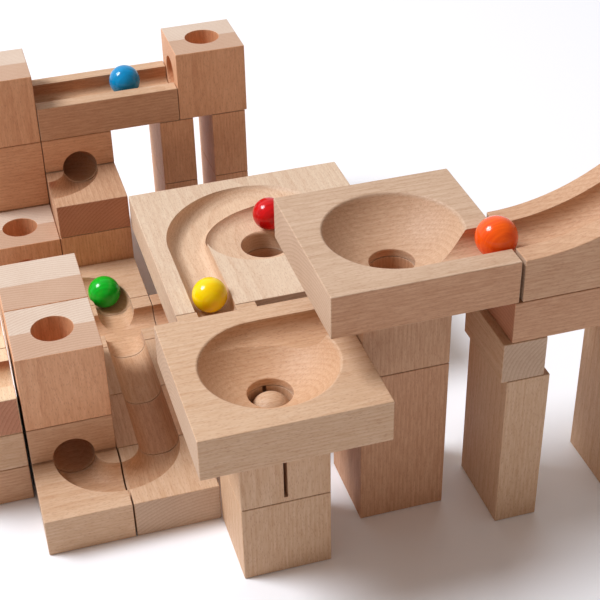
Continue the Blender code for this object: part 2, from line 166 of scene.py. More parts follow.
def add_mesh(bm: BMesh, name: str) -> bpy.types.Mesh:
    """Keep a finished bmesh as a mesh and free it.

    Args:
        bm: The finished bmesh.
        name: Name of the mesh.

    Returns:
        The mesh.
    """
    mesh = bpy.data.meshes.new(name)
    bm.to_mesh(mesh)
    bm.free()
    return mesh


def add_object(name: str, data: bpy.types.ID) -> bpy.types.Object:
    """Put a mesh, a lamp or a camera in the scene.

    Args:
        name: Name of the object.
        data: The mesh, lamp or camera.

    Returns:
        The object.
    """
    made = bpy.data.objects.new(name, data)
    bpy.context.scene.collection.objects.link(made)
    return made


def first_part(parts: Iterable[MeshPart], kind: type) -> MeshPart:
    """First of some parts of a mesh that is of a kind."""
    return next(part for part in parts if isinstance(part, kind))


def add_box(bm: BMesh, low: Vector, high: Vector) -> None:
    """Add a box between its lowest and its highest corner."""
    place = Matrix.Translation((low + high) / 2) @ Matrix.Diagonal((*(high - low), 1.0))
    bmesh.ops.create_cube(bm, size=1.0, matrix=place)


def round_off(
    bm: BMesh, geom: list[MeshPart], offset: float, steps: int, affect: str = "EDGES"
) -> None:
    """Round some edges or corners.

    Args:
        bm: Mesh that they are in.
        geom: The edges or corners.
        offset: Size of the round.
        steps: Facets of the round.
        affect: Blender's word for edges or corners.
    """
    bmesh.ops.bevel(
        bm, geom=geom, offset=offset, offset_type="OFFSET", segments=steps, profile=0.5,
        affect=affect, material=-1,
    )


def draw_arc(
    bm: BMesh, start: Point, pivot: Vector, axis: Vector, angle: float, steps: int
) -> Point:
    """Draw a wire on from a point in an arc.

    Args:
        bm: Mesh that the wire is in.
        start: Point that the arc starts from.
        pivot: Middle of the arc.
        axis: Axis of the arc.
        angle: Angle of the arc.
        steps: Facets of the arc.

    Returns:
        Point that the arc ends at.
    """
    drawn = bmesh.ops.spin(
        bm, geom=[start], cent=pivot, axis=axis, angle=angle, steps=steps, use_duplicate=False
    )
    return first_part(drawn["geom_last"], Point)


def turn_wire(bm: BMesh, foot: Vector, steps: int) -> None:
    """Turn a wire into a round shell.

    Args:
        bm: Mesh that holds the wire and nothing else.
        foot: Point on the upright axis.
        steps: Facets of the shell.
    """
    bmesh.ops.spin(
        bm, geom=[*bm.verts, *bm.edges], cent=foot, axis=UP, angle=FULL_TURN, steps=steps,
        use_merge=True, use_duplicate=False,
    )
    bmesh.ops.remove_doubles(bm, verts=bm.verts, dist=ONE_POINT)


class Way(Enum):
    """Direction that a lane or a bore runs in."""

    LEFT = (-1.0, 0.0, 0.0)
    RIGHT = (1.0, 0.0, 0.0)
    FRONT = (0.0, -1.0, 0.0)
    BACK = (0.0, 1.0, 0.0)
    DOWN = (0.0, 0.0, -1.0)

    @property
    def vector(self) -> Vector:
        """Unit vector of the direction."""
        return Vector(self.value)


class Grain(Enum):
    """Direction of the fibres in a block, with the turn that lays them along X."""

    ALONG_X = ((1.0, 0.0, 0.0), (0.0, 0.0, 0.0))
    ALONG_Y = ((0.0, 1.0, 0.0), (0.0, 0.0, -QUARTER_TURN))
    UPRIGHT = ((0.0, 0.0, 1.0), (0.0, QUARTER_TURN, 0.0))

    @property
    def axis(self) -> Triple:
        """Direction of the fibres in the part's frame."""
        return self.value[0]

    @property
    def turn(self) -> Triple:
        """Euler angles that lay the fibres along X."""
        return self.value[1]


class Board(Enum):
    """Colours of a beech board: early wood and late wood."""

    CREAM = ("#E2CFBC", "#CAAD97")
    PALE = ("#DABA9B", "#C29874")
    GREY = ("#CFB298", "#AF8E74")
    DULL = ("#D6B89D", "#B89577")
    PLAIN = ("#D7AF8D", "#B98966")
    AMBER = ("#EAB78F", "#CB9068")
    RED = ("#D6A885", "#B5815D")
    DEEP = ("#C98F70", "#A86C4E")
    IVORY = ("#F0D9B8", "#DEBE98")
    HONEY = ("#E7D1B6", "#D0AF92")

    @property
    def early(self) -> Rgba:
        """Linear colour of the wood between the rings."""
        return linear(self.value[0])

    @property
    def late(self) -> Rgba:
        """Linear colour of the ring lines."""
        return linear(self.value[1])


@dataclass(frozen=True)
class BlockGrid:
    """Plan grid and half-block layers that every block stands on."""

    pitch: float = 0.0454
    level: float = 0.0228
    layer: float = 0.0225
    half_gap: float = 0.0002
    middle_i: float = 3.0
    middle_j: float = 2.75

    def spot(self, i: float, j: float, z: float) -> Vector:
        """Point on the plan grid at a height."""
        return Vector(((i - self.middle_i) * self.pitch, (j - self.middle_j) * self.pitch, z))

    def side(self, i: float, j: float, z: float, way: Way) -> Vector:
        """Point on the side of a block by which a way enters it."""
        return self.spot(i, j, z) + way.vector * self.half_gap

    def floor(self, k: float) -> float:
        """Height of the underside of a layer."""
        return k * self.level

    def top(self, k: float) -> float:
        """Height of the top of a layer."""
        return self.floor(k) + self.layer


@dataclass(frozen=True)
class WaySizes:
    """Sizes of the ways that the balls take."""

    bore: float = 0.011
    lane_depth: float = 0.010
    lane_foot: float = 0.0092
    lift: float = 0.001
    elbow: float = 0.013
    rim: float = 0.0003
    lip: float = 0.003
    overrun: float = 0.004
    clear: float = 0.00002


@dataclass(frozen=True)
class Facets:
    """How finely the round shapes are divided."""

    bore: int = 56
    quarter: int = 20
    foot: int = 10
    rim: int = 3
    edge: int = 3
    soft: int = 4
    bowl: int = 112
    bowl_arc: int = 20
    ball: int = 72


GRID = BlockGrid()
WAYS = WaySizes()
FACETS = Facets()


def rim_angles() -> Iterable[Pair]:
    """First and last angle of each facet of a rounded rim."""
    ends = [number / FACETS.rim * QUARTER_TURN for number in range(FACETS.rim + 1)]
    return zip(ends, ends[1:])


@dataclass(frozen=True)
class Bend:
    """Arc that a way follows: the point that it goes round and the axis of the turn."""

    pivot: Vector
    axis: Vector
    radius: float


class Gouge:
    """Cutting solid that grows behind a flat leading face, as a tool pushed through wood."""

    def __init__(self, place: Vector, heading: Vector, reach: float) -> None:
        """Take up the tool.

        Args:
            place: Point that the section is centred on.
            heading: Direction that the tool is pushed in.
            reach: Half width of the section, from which its rims are flared.
        """
        self.bm = bmesh.new()
        self.place = place.copy()
        self.heading = heading.normalized()
        self.reach = reach
        self.head: bmesh.types.BMFace | None = None
        self.made: bpy.types.Object | None = None

    @classmethod
    def bore(cls, mouth: Vector, heading: Vector, radius: float = WAYS.bore) -> "Gouge":
        """Round tool that stands just outside a face.

        Args:
            mouth: Middle of the hole on the face.
            heading: Direction of the hole.
            radius: Radius of the hole.

        Returns:
            The tool before its first cut.
        """
        tool = cls(mouth - heading * WAYS.overrun, heading, radius)
        turn = heading.to_track_quat("Z", "Y").to_matrix().to_4x4()
        place = Matrix.Translation(tool.place) @ turn
        bmesh.ops.create_circle(
            tool.bm, cap_ends=True, radius=radius, segments=FACETS.bore, matrix=place
        )
        return tool.grip()

    @classmethod
    def lane(
        cls,
        mouth: Vector,
        heading: Vector,
        half: float = WAYS.bore,
        feet: Pair = (WAYS.lane_foot, WAYS.lane_foot),
    ) -> "Gouge":
        """Tool for an open lane, whose lips round the rims of the lane.

        Args:
            mouth: Middle of the lane on the face, at the height of the block's top.
            heading: Direction of the lane.
            half: Half width of the lane.
            feet: Rounds at the foot of the left and of the right wall.

        Returns:
            The tool before its first cut.
        """
        tool = cls(mouth - heading * WAYS.overrun, heading, half)
        side = heading.cross(UP)
        wide, rise, down = half + WAYS.lip, WAYS.lip, -WAYS.lane_depth
        outline = [(-wide, rise), (-wide, WAYS.clear), (-half, WAYS.clear), (-half, down)]
        outline += [(-across, height) for across, height in reversed(outline)]
        verts = [tool.bm.verts.new(tool.place + side * a + UP * z) for a, z in outline]
        tool.bm.faces.new(verts)
        for corner, radius, steps in (
            (verts[3], feet[0], FACETS.foot),
            (verts[4], feet[1], FACETS.foot),
            (verts[2], WAYS.rim, FACETS.rim),
            (verts[5], WAYS.rim, FACETS.rim),
        ):
            round_off(tool.bm, [corner], radius, steps, "VERTICES")
        return tool.grip()

    def grip(self) -> "Gouge":
        """Take the section's only face as the leading face.

        Returns:
            The same tool.
        """
        self.bm.faces.ensure_lookup_table()
        self.head = self.bm.faces[0]
        return self

    def front(self) -> list[MeshPart]:
        """Leading face with its edges and corners, which move on together."""
        return [self.head, *self.head.edges, *self.head.verts]

    def step(self, length: float, bend: Bend | None = None) -> "Gouge":
        """Push the tool on.

        Args:
            length: Distance along the way.
            bend: Arc to follow, or nothing for a straight run.

        Returns:
            The same tool.
        """
        if bend is not None:
            return self.turn(bend, length / bend.radius, 1)
        grown = bmesh.ops.extrude_face_region(self.bm, geom=self.front())
        self.head = first_part(grown["geom"], bmesh.types.BMFace)
        bmesh.ops.translate(self.bm, vec=self.heading * length, verts=self.head.verts)
        self.place += self.heading * length
        return self

    def turn(self, bend: Bend, angle: float, steps: int, climb: float = 0.0) -> "Gouge":
        """Swing the tool round an arc.

        Args:
            bend: The arc.
            angle: Angle of the swing.
            steps: Facets of the swing.
            climb: Height gained on the way.

        Returns:
            The same tool.
        """
        swung = bmesh.ops.spin(
            self.bm, geom=self.front(), cent=bend.pivot, axis=bend.axis,
            dvec=UP * (climb / steps), angle=angle, steps=steps, use_duplicate=False,
        )
        self.head = first_part(swung["geom_last"], bmesh.types.BMFace)
        swing = Matrix.Rotation(angle, 3, bend.axis)
        self.place = bend.pivot + swing @ (self.place - bend.pivot) + UP * climb
        self.heading = swing @ self.heading
        return self

    def swell(self, factor: float) -> "Gouge":
        """Scale the leading face about its middle.

        Args:
            factor: How many times as wide it gets.

        Returns:
            The same tool.
        """
        space = Matrix.Translation(-self.place)
        bmesh.ops.scale(self.bm, vec=(factor,) * 3, space=space, verts=self.head.verts)
        return self

    def enter(self, bend: Bend | None = None) -> "Gouge":
        """Cut in through a face over a rounded rim.

        Args:
            bend: Arc to follow, or nothing for a straight run.

        Returns:
            The same tool.
        """
        width = self.reach + WAYS.rim
        self.swell(width / self.reach).step(WAYS.overrun - WAYS.clear)
        for before, after in rim_angles():
            self.step(WAYS.rim * (math.cos(before) - math.cos(after)), bend)
            narrow = self.reach + WAYS.rim * (1 - math.sin(after))
            self.swell(narrow / width)
            width = narrow
        return self

    def leave(self, bend: Bend | None = None) -> "Gouge":
        """Cut out through a face over a rounded rim.

        Args:
            bend: Arc to follow, or nothing for a straight run.

        Returns:
            The same tool.
        """
        width = self.reach
        for before, after in rim_angles():
            self.step(WAYS.rim * (math.sin(after) - math.sin(before)), bend)
            wide = self.reach + WAYS.rim * (1 - math.cos(after))
            self.swell(wide / width)
            width = wide
        return self.step(WAYS.overrun)


class Lathe:
    """Round cutter turned about an upright axis from a wire drawn point by point."""

    def __init__(self, axis: Vector, reach: float, height: float) -> None:
        """Set the pen on the first point.

        Args:
            axis: Point on the axis that heights are counted from.
            reach: Distance of the first point from the axis.
            height: Height of the first point.
        """
        self.bm = bmesh.new()
        self.axis = axis.copy()
        self.tip = self.bm.verts.new(axis + Vector((reach, 0.0, height)))
        self.made: bpy.types.Object | None = None

    def to(self, reach: float, height: float) -> "Lathe":
        """Draw on in a straight line.

        Args:
            reach: Distance of the next point from the axis.
            height: Height of the next point.

        Returns:
            The same lathe.
        """
        after = self.bm.verts.new(self.axis + Vector((reach, 0.0, height)))
        self.bm.edges.new((self.tip, after))
        self.tip = after
        return self

    def arc(self, height: float, angle: float) -> "Lathe":
        """Draw on in an arc about a point of the axis.

        Args:
            height: Height of that point.
            angle: Angle of the arc.

        Returns:
            The same lathe.
        """
        pivot = self.axis + UP * height
        self.tip = draw_arc(self.bm, self.tip, pivot, Way.BACK.vector, angle, FACETS.bowl_arc)
        return self

    def revolve(self) -> "Lathe":
        """Turn the wire into a closed solid.

        Returns:
            The same lathe.
        """
        turn_wire(self.bm, self.axis, FACETS.bowl)
        bmesh.ops.recalc_face_normals(self.bm, faces=self.bm.faces)
        return self

    def soften(
        self, reach: float, height: float, offset: float, steps: int = FACETS.soft
    ) -> "Lathe":
        """Round one ring of edges.

        Args:
            reach: Radius of the ring.
            height: Height of the ring.
            offset: Size of the round.
            steps: Facets of the round.

        Returns:
            The same lathe.
        """
        spots = {
            vert
            for vert in self.bm.verts
            if abs((vert.co - self.axis).xy.length - reach) < ON_RING[0]
            and abs(vert.co.z - self.axis.z - height) < ON_RING[1]
        }
        ring = [edge for edge in self.bm.edges if spots.issuperset(edge.verts)]
        round_off(self.bm, ring, offset, steps)
        return self


class Saw(Gouge):
    """Thin flat cutter that leaves a straight slot."""

    def __init__(self, low: Vector, high: Vector) -> None:
        """Set the blade.

        Args:
            low: Lowest corner of the slot.
            high: Highest corner of the slot.
        """
        super().__init__((low + high) / 2, UP, (high.x - low.x) / 2)
        add_box(self.bm, low, high)


Cutter = Gouge | Lathe


def lane_cut(start: Vector, end: Vector, **section: object) -> Gouge:
    """Cut a straight open lane from face to face.

    Args:
        start: Middle of the lane on the first face.
        end: Middle of the lane on the second face.
        section: Width and feet of the lane, where they aren't the usual ones.

    Returns:
        The cutter.
    """
    run = end - start
    tool = Gouge.lane(start, run.normalized(), **section)
    return tool.enter().step(run.length - 2 * WAYS.rim).leave()


def cell_lane(
    i: float, j: float, k: float, way: Way, cells: float = 1, **section: object
) -> Gouge:
    """Cut a lane through the middle of a block that lies between two grid lines.

    Args:
        i: Grid place of the middle of the lane's first face along X.
        j: Grid place of the middle of the lane's first face along Y.
        k: Layer whose top the lane is cut in.
        way: Direction of the lane.
        cells: Length of the block.
        section: Width and feet of the lane, where they aren't the usual ones.

    Returns:
        The cutter.
    """
    start = GRID.side(i, j, GRID.top(k), way)
    end = start + way.vector * (cells * GRID.pitch - 2 * GRID.half_gap)
    return lane_cut(start, end, **section)


def quarter_cut(tool: Gouge, second: Way) -> Gouge:
    """Cut a quarter turn across one cell with a tool that stands at the middle of its side.

    Args:
        tool: Tool at the first side.
        second: Direction in which the way leaves the cell.

    Returns:
        The cutter.
    """
    mouth = tool.place + tool.heading * WAYS.overrun
    radius = GRID.pitch / 2 - GRID.half_gap
    bend = Bend(mouth + second.vector * radius, tool.heading.cross(second.vector), radius)
    angle = QUARTER_TURN - 2 * WAYS.rim / radius
    return tool.enter(bend).turn(bend, angle, FACETS.quarter).leave(bend)


def lane_turn(i: float, j: float, k: float, first: Way, second: Way) -> Gouge:
    """Cut an open quarter turn that starts at a grid place on the side of its cell.

    Args:
        i: Grid place of the start along X.
        j: Grid place of the start along Y.
        k: Layer whose top the lane is cut in.
        first: Direction in which the lane enters.
        second: Direction in which it leaves.

    Returns:
        The cutter.
    """
    mouth = GRID.side(i, j, GRID.top(k), first)
    return quarter_cut(Gouge.lane(mouth, first.vector), second)


def elbow_cut(mouth: Vector, first: Way, second: Way, fall: float, run: float) -> Gouge:
    """Cut a bore that bends once.

    Args:
        mouth: Middle of the hole that it starts from.
        first: Direction in which it enters.
        second: Direction in which it leaves.
        fall: Distance from the mouth to the axis of the second leg.
        run: Distance from the axis of the first leg to the face that it leaves by.

    Returns:
        The cutter.
    """
    tool = Gouge.bore(mouth, first.vector).enter()
    tool.step(fall - WAYS.elbow - WAYS.rim)
    pivot = tool.place + second.vector * WAYS.elbow
    bend = Bend(pivot, first.vector.cross(second.vector), WAYS.elbow)
    tool.turn(bend, QUARTER_TURN, FACETS.quarter)
    return tool.step(run - WAYS.elbow - WAYS.rim).leave()


def top_drop(i: float, j: float, k_top: float, k_lane: float, out: Way) -> Gouge:
    """Cut a drop from the top of a cell to the side that it leaves by.

    Args:
        i: Grid line at the left of the cell.
        j: Grid line at the front of the cell.
        k_top: Layer whose top it starts from.
        k_lane: Layer whose top it runs out on.
        out: Direction in which it leaves.

    Returns:
        The cutter.
    """
    mouth = GRID.spot(i + 0.5, j + 0.5, GRID.top(k_top))
    fall = GRID.top(k_top) - GRID.top(k_lane) - WAYS.lift
    return elbow_cut(mouth, Way.DOWN, out, fall, GRID.pitch / 2 - GRID.half_gap)


def bore_cut(start: Vector, end: Vector) -> Gouge:
    """Cut a straight bore from face to face."""
    run = end - start
    return Gouge.bore(start, run.normalized()).enter().step(run.length - 2 * WAYS.rim).leave()


def cutter_object(cutter: Cutter) -> bpy.types.Object:
    """Give a cutter its hidden object, once.

    Args:
        cutter: The cutter.

    Returns:
        The object that Booleans use.
    """
    if cutter.made is None:
        bmesh.ops.recalc_face_normals(cutter.bm, faces=cutter.bm.faces)
        cutter.made = add_object("cutter", add_mesh(cutter.bm, "cutter"))
    return cutter.made


def carve(piece: bpy.types.Object, cutters: Iterable[Cutter]) -> None:
    """Take the cutters out of a piece and keep the result as its mesh.

    Args:
        piece: Object that is cut.
        cutters: What is taken out of it.
    """
    for cutter in cutters:
        taken = piece.modifiers.new("cut", "BOOLEAN")
        taken.operation = "DIFFERENCE"
        taken.solver = "EXACT"
        taken.object = cutter_object(cutter)
    view = bpy.context.evaluated_depsgraph_get()
    mesh = bpy.data.meshes.new_from_object(piece.evaluated_get(view))
    piece.modifiers.clear()
    piece.data = mesh


def clear_cutters() -> None:
    """Remove the cutters once every block has its ways."""
    for spare in [each for each in bpy.data.objects if each.name.startswith("cutter")]:
        bpy.data.meshes.remove(spare.data)


def smooth_piece(piece: bpy.types.Object, crease_deg: float = 36.0, weight: int = 80) -> None:
    """Merge a piece's doubles and shade its rounds smooth and its flats flat.

    Args:
        piece: Object to finish.
        crease_deg: Angle over which an edge stays crisp.
        weight: How far the large faces set the shading at their edges, out of 100.
    """
    bm = bmesh.new()
    bm.from_mesh(piece.data)
    bmesh.ops.remove_doubles(bm, verts=bm.verts, dist=CUT_SEAM)
    bmesh.ops.dissolve_degenerate(bm, edges=bm.edges, dist=SLIVER)
    bmesh.ops.recalc_face_normals(bm, faces=bm.faces)
    bm.to_mesh(piece.data)
    bm.free()
    piece.data.shade_smooth()
    piece.data.set_sharp_from_angle(angle=math.radians(crease_deg))
    level = piece.modifiers.new("flat faces", "WEIGHTED_NORMAL")
    level.keep_sharp = True
    level.weight = weight


@dataclass(frozen=True)
class Beech:
    """Beech, planed and sanded without varnish.

    To the eye it is a pinkish tan with faint ring lines, short brown flecks along the fibres and a
    dull surface. Where a block is cut across its fibres the colour is another and the rings show.
    """

    grain: Grain = Grain.ALONG_X
    board: Board = Board.PLAIN
    ends: Board = Board.GREY
    # Painted shade: faces toward the front and the back take this darker, redder board.
    flank_shade: Board | None = None
    pith: Pair = (0.030, 0.085)
    spread: Triple = (0.4, 0.05, 0.04)  # how far apart in the tree the blocks were cut
    ring: float = 0.0021  # 1.5 mm rings would be lost in the render, so they are drawn wider
    ring_warp: Triple = (0.9, 1.5, 0.6)  # distortion, detail and its scale
    ring_edge: float = 2.2
    fleck: Pair = (0.0028, 0.0007)  # real flecks are half as wide, too fine to show
    fleck_edge: Pair = (0.14, 0.36)
    thread_scale: Triple = (110.0, 1000.0, 1000.0)  # streaks 9 mm long and 1 mm wide
    thread_range: Pair = (0.3, 0.72)
    cloud_scale: Triple = (7.0, 45.0, 45.0)  # clouds 140 mm long and 22 mm wide
    cloud_range: Pair = (0.3, 0.7)
    cloud_share: float = 0.22
    sway: float = 0.004
    sway_scale: Triple = (5.0, 24.0, 24.0)  # swings 200 mm long and 42 mm wide
    late_share: float = 0.08
    ring_share: Pair = (0.30, 0.48)  # along the fibres and across them
    thread_share: Pair = (0.58, 0.30)
    fleck_share: Pair = (0.33, 0.14)
    pore_colour: str = "#986046"
    square: Pair = (0.85, 1.0)  # where a surface starts to face along an axis, and where it does
    glued: bool = False
    glued_colour: str = "#E9D5C7"
    glued_shift: Triple = (0.021, 0.034, -0.027)  # step of the figure at the glue line
    recess_shade_colour: str | None = "#FFF6EE"  # painted shade: the ways are tinted redder and darker, for the warm shade in their hollows
    recess_shade_depth: Pair = (0.0006, 0.0020)
    rough: Pair = (0.52, 0.68)
    relief: Pair = (0.25, 0.00012)  # strength, and height of the fibres
    ior: float = 1.45

    def material(self, name: str, low: Vector, high: Vector) -> bpy.types.Material:
        """Make the wood of one block.

        Args:
            name: Name of the block.
            low: Lowest corner of the block.
            high: Highest corner of the block.

        Returns:
            The material.
        """
        made, tree, shader = new_material(f"sanded_beech_{name}")
        source = add_node(tree, "ShaderNodeTexCoord")
        middle = (low + high) / 2
        spot, front = source.outputs["Object"], None
        if self.glued:
            depth = add_node(tree, "ShaderNodeSeparateXYZ", {0: spot}).outputs["Y"]
            front = add_node(
                tree, "ShaderNodeMath", {0: depth, 1: middle.y}, operation="LESS_THAN"
            ).outputs[0]
            aside = add_node(
                tree, "ShaderNodeVectorMath", {0: self.glued_shift, "Scale": front},
                operation="SCALE",
            )
            moved = add_node(tree, "ShaderNodeVectorMath", {0: spot, 1: aside.outputs[0]})
            spot = moved.outputs[0]
        figure = self.figure(tree, self.along_fibres(tree, spot, name, middle))
        _, streaks, flecks, _ = figure
        end, side = (
            self.facing(tree, source.outputs["Normal"], axis)
            for axis in (self.grain.axis, Grain.ALONG_Y.axis)
        )
        colour = self.colour(tree, figure, end, side)
        if front is not None:
            both = add_node(tree, "ShaderNodeMath", {0: front, 1: end}, operation="MULTIPLY")
            colour = self.tinted(tree, colour, both.outputs[0], self.glued_colour)
        # Painted shade: the milled ways are tinted redder and darker, for the warm shade that
        # gathers in them.
        if self.recess_shade_colour:
            cut = self.recess_shade_mask(tree, source.outputs["Object"], low, high)
            colour = self.tinted(tree, colour, cut, self.recess_shade_colour)
        rough = add_node(
            tree, "ShaderNodeMapRange", {0: streaks, 3: self.rough[0], 4: self.rough[1]}
        )
        height = add_node(tree, "ShaderNodeMath", {0: streaks, 1: flecks}, operation="SUBTRACT")
        relief = add_node(
            tree, "ShaderNodeBump",
            {"Strength": self.relief[0], "Distance": self.relief[1], "Height": height.outputs[0]},
        )
        feed(
            tree, shader,
            {
                "Base Color": colour, "Roughness": rough.outputs[0], "Normal": relief.outputs[0],
                "IOR": self.ior,
            },
        )
        return made

    def along_fibres(self, tree: Tree, spot: Socket, name: str, middle: Vector) -> Socket:
        """Turn a block's own place into places in its tree, with the pith along X.

        Args:
            tree: Node tree of the wood.
            spot: Place in the part's frame.
            name: Name of the block, which picks where in the tree it was cut.
            middle: Middle of the block.

        Returns:
            Place along the fibres, swaying a little as a trunk grows.
        """
        seed = zlib.crc32(name.encode())
        pick = [((seed >> shift) % 256) / 255 - 0.5 for shift in (0, 8, 16)]
        turn = Matrix.Identity(3)
        for angle, axis in zip(self.grain.turn, "XYZ"):
            turn = Matrix.Rotation(angle, 3, axis) @ turn
        away = zip((0.0, *self.pith), pick, self.spread)
        cut = Vector(pith + part * spread for pith, part, spread in away)
        laid = add_node(
            tree, "ShaderNodeMapping",
            {"Vector": spot, "Location": cut - turn @ middle, "Rotation": self.grain.turn},
        ).outputs[0]
        slow = add_node(
            tree, "ShaderNodeVectorMath", {0: laid, 1: self.sway_scale}, operation="MULTIPLY"
        )
        drift = add_node(
            tree, "ShaderNodeTexNoise", {"Vector": slow.outputs[0], "Scale": 1.0, "Detail": 1.5}
        )
        return add_node(
            tree, "ShaderNodeVectorMath",
            {0: drift.outputs["Color"], 1: (0.0, self.sway, self.sway), 2: laid},
            operation="MULTIPLY_ADD",
        ).outputs[0]

    def recess_shade_mask(self, tree: Tree, spot: Socket, low: Vector, high: Vector) -> Socket:
        """Tell which places lie in the ways that were milled into the block, which take the painted
        shade.

        Args:
            tree: Node tree of the wood.
            spot: Place in the part's frame.
            low: Lowest corner of the block.
            high: Highest corner of the block.

        Returns:
            0 on the outer faces, rising to 1 a little below them.
        """
        offset = add_node(
            tree, "ShaderNodeVectorMath", {0: spot, 1: (low + high) / 2}, operation="SUBTRACT"
        )
        away = add_node(tree, "ShaderNodeVectorMath", {0: offset.outputs[0]}, operation="ABSOLUTE")
        under = add_node(
            tree, "ShaderNodeVectorMath", {0: (high - low) / 2, 1: away.outputs[0]},
            operation="SUBTRACT",
        )
        depths = add_node(tree, "ShaderNodeSeparateXYZ", {0: under.outputs[0]}).outputs
        least = depths["X"]
        for depth in (depths["Y"], depths["Z"]):
            least = add_node(
                tree, "ShaderNodeMath", {0: least, 1: depth}, operation="MINIMUM"
            ).outputs[0]
        return add_node(
            tree, "ShaderNodeMapRange",
            {0: least, 1: self.recess_shade_depth[0], 2: self.recess_shade_depth[1]},
        ).outputs[0]

    def facing(self, tree: Tree, normal: Socket, axis: Triple) -> Socket:
        """Tell how squarely the surface faces along an axis.

        Args:
            tree: Node tree of the wood.
            normal: Normal of the surface.
            axis: The axis.

        Returns:
            1 where the surface is square to the axis, falling to 0 as it turns away.
        """
        along = add_node(
            tree, "ShaderNodeVectorMath", {0: normal, 1: axis}, operation="DOT_PRODUCT"
        )
        either = add_node(tree, "ShaderNodeMath", {0: along.outputs["Value"]}, operation="ABSOLUTE")
        return add_node(
            tree, "ShaderNodeMapRange",
            {0: either.outputs[0], 1: self.square[0], 2: self.square[1]},
        ).outputs[0]

    def figure(self, tree: Tree, fibres: Socket) -> tuple[Socket, ...]:
        """Draw the parts of the wood's figure.

        Args:
            tree: Node tree of the wood.
            fibres: Place along the fibres.

        Returns:
            Rings, fine streaks, flecks and broad clouds, each from 0 to 1.
        """
        # One turn of the wave texture's rings is 2 pi / 20 of a unit at a scale of 1.
        warp, detail, detail_scale = self.ring_warp
        wave = add_node(
            tree, "ShaderNodeTexWave",
            {
                "Vector": fibres, "Scale": FULL_TURN / 20 / self.ring, "Distortion": warp,
                "Detail": detail, "Detail Scale": detail_scale,
            },
            wave_type="RINGS", rings_direction="X", wave_profile="SAW",
        )
        rings = add_node(
            tree, "ShaderNodeMath", {0: wave.outputs["Fac"], 1: self.ring_edge}, operation="POWER"
        )
        fine, broad = (
            add_node(tree, "ShaderNodeVectorMath", {0: fibres, 1: scale}, operation="MULTIPLY")
            for scale in (self.thread_scale, self.cloud_scale)
        )
        streaks = add_node(
            tree, "ShaderNodeTexNoise",
            {"Vector": fine.outputs[0], "Scale": 1.0, "Detail": 3.0, "Roughness": 0.6},
        )
        length, width = self.fleck
        short = add_node(
            tree, "ShaderNodeVectorMath", {0: fibres, 1: (1 / length, 1 / width, 1 / width)},
            operation="MULTIPLY",
        )
        cells = add_node(tree, "ShaderNodeTexVoronoi", {"Vector": short.outputs[0], "Scale": 1.0})
        flecks = add_node(
            tree, "ShaderNodeMapRange",
            {
                0: cells.outputs["Distance"], 1: self.fleck_edge[0], 2: self.fleck_edge[1], 3: 1.0,
                4: 0.0,
            },
        )
        clouds = add_node(
            tree, "ShaderNodeTexNoise", {"Vector": broad.outputs[0], "Scale": 1.0, "Detail": 2.0}
        )
        return rings.outputs[0], streaks.outputs["Fac"], flecks.outputs[0], clouds.outputs["Fac"]

    def colour(
        self, tree: Tree, figure: tuple[Socket, ...], end: Socket, side: Socket
    ) -> Socket:
        """Colour the figure.

        Args:
            tree: Node tree of the wood.
            figure: Rings, fine streaks, flecks and broad clouds.
            end: How far the surface is cut across the fibres.
            side: How squarely the surface faces the front or the back, where the flank board paints
                shade.

        Returns:
            Colour of the wood.
        """
        rings, streaks, flecks, clouds = figure
        ring, thread, fleck = (
            add_node(tree, "ShaderNodeMapRange", {0: end, 3: along, 4: across}).outputs[0]
            for along, across in (self.ring_share, self.thread_share, self.fleck_share)
        )
        lines = add_node(
            tree, "ShaderNodeMath", {0: rings, 1: ring, 2: self.late_share},
            operation="MULTIPLY_ADD",
        )
        threads, patch = (
            add_node(tree, "ShaderNodeMapRange", {0: part, 1: bounds[0], 2: bounds[1], 4: most})
            for part, bounds, most in (
                (streaks, self.thread_range, thread),
                (clouds, self.cloud_range, self.cloud_share),
            )
        )
        some = add_node(
            tree, "ShaderNodeMath", {0: lines.outputs[0], 1: threads.outputs[0]}, operation="ADD"
        )
        share = add_node(
            tree, "ShaderNodeMath", {0: some.outputs[0], 1: patch.outputs[0]}, operation="ADD",
            use_clamp=True,
        )
        # Faces toward the front and the back take the flank board, a painted shade; faces across
        # the fibres take the end board.
        flank_shade = self.flank_shade or self.board
        early, late = self.board.early, self.board.late
        for place, board in ((side, flank_shade), (end, self.ends)):
            early, late = (
                add_node(
                    tree, "ShaderNodeMix", {0: place, 6: tone, 7: other}, data_type="RGBA"
                ).outputs[2]
                for tone, other in ((early, board.early), (late, board.late))
            )
        wood = add_node(
            tree, "ShaderNodeMix", {0: share.outputs[0], 6: early, 7: late}, data_type="RGBA"
        )
        faint = add_node(tree, "ShaderNodeMath", {0: flecks, 1: fleck}, operation="MULTIPLY")
        return add_node(
            tree, "ShaderNodeMix",
            {0: faint.outputs[0], 6: wood.outputs[2], 7: linear(self.pore_colour)},
            data_type="RGBA",
        ).outputs[2]

    @staticmethod
    def tinted(tree: Tree, colour: Socket, share: Socket, tint: str) -> Socket:
        """Darken a colour by a tint over part of the surface.

        Args:
            tree: Node tree of the wood.
            colour: Colour to darken.
            share: Where and how far the tint counts.
            tint: Hex colour that it is multiplied by.

        Returns:
            The tinted colour.
        """
        return add_node(
            tree, "ShaderNodeMix", {0: share, 6: colour, 7: linear(tint)}, data_type="RGBA",
            blend_type="MULTIPLY",
        ).outputs[2]


PLAIN_BEECH = Beech()
PALE_BEECH = Beech(board=Board.PALE)
UPRIGHT_BEECH = Beech(Grain.UPRIGHT)
# Two boards glued side by side, so the upper ends show a pale strip behind a darker one.
GLUED_BEECH = Beech(
    Grain.UPRIGHT, Board.AMBER, Board.CREAM, pith=(0.09, 0.01), glued=True, ring_share=(0.30, 0.72),
    thread_share=(0.58, 0.22),
)


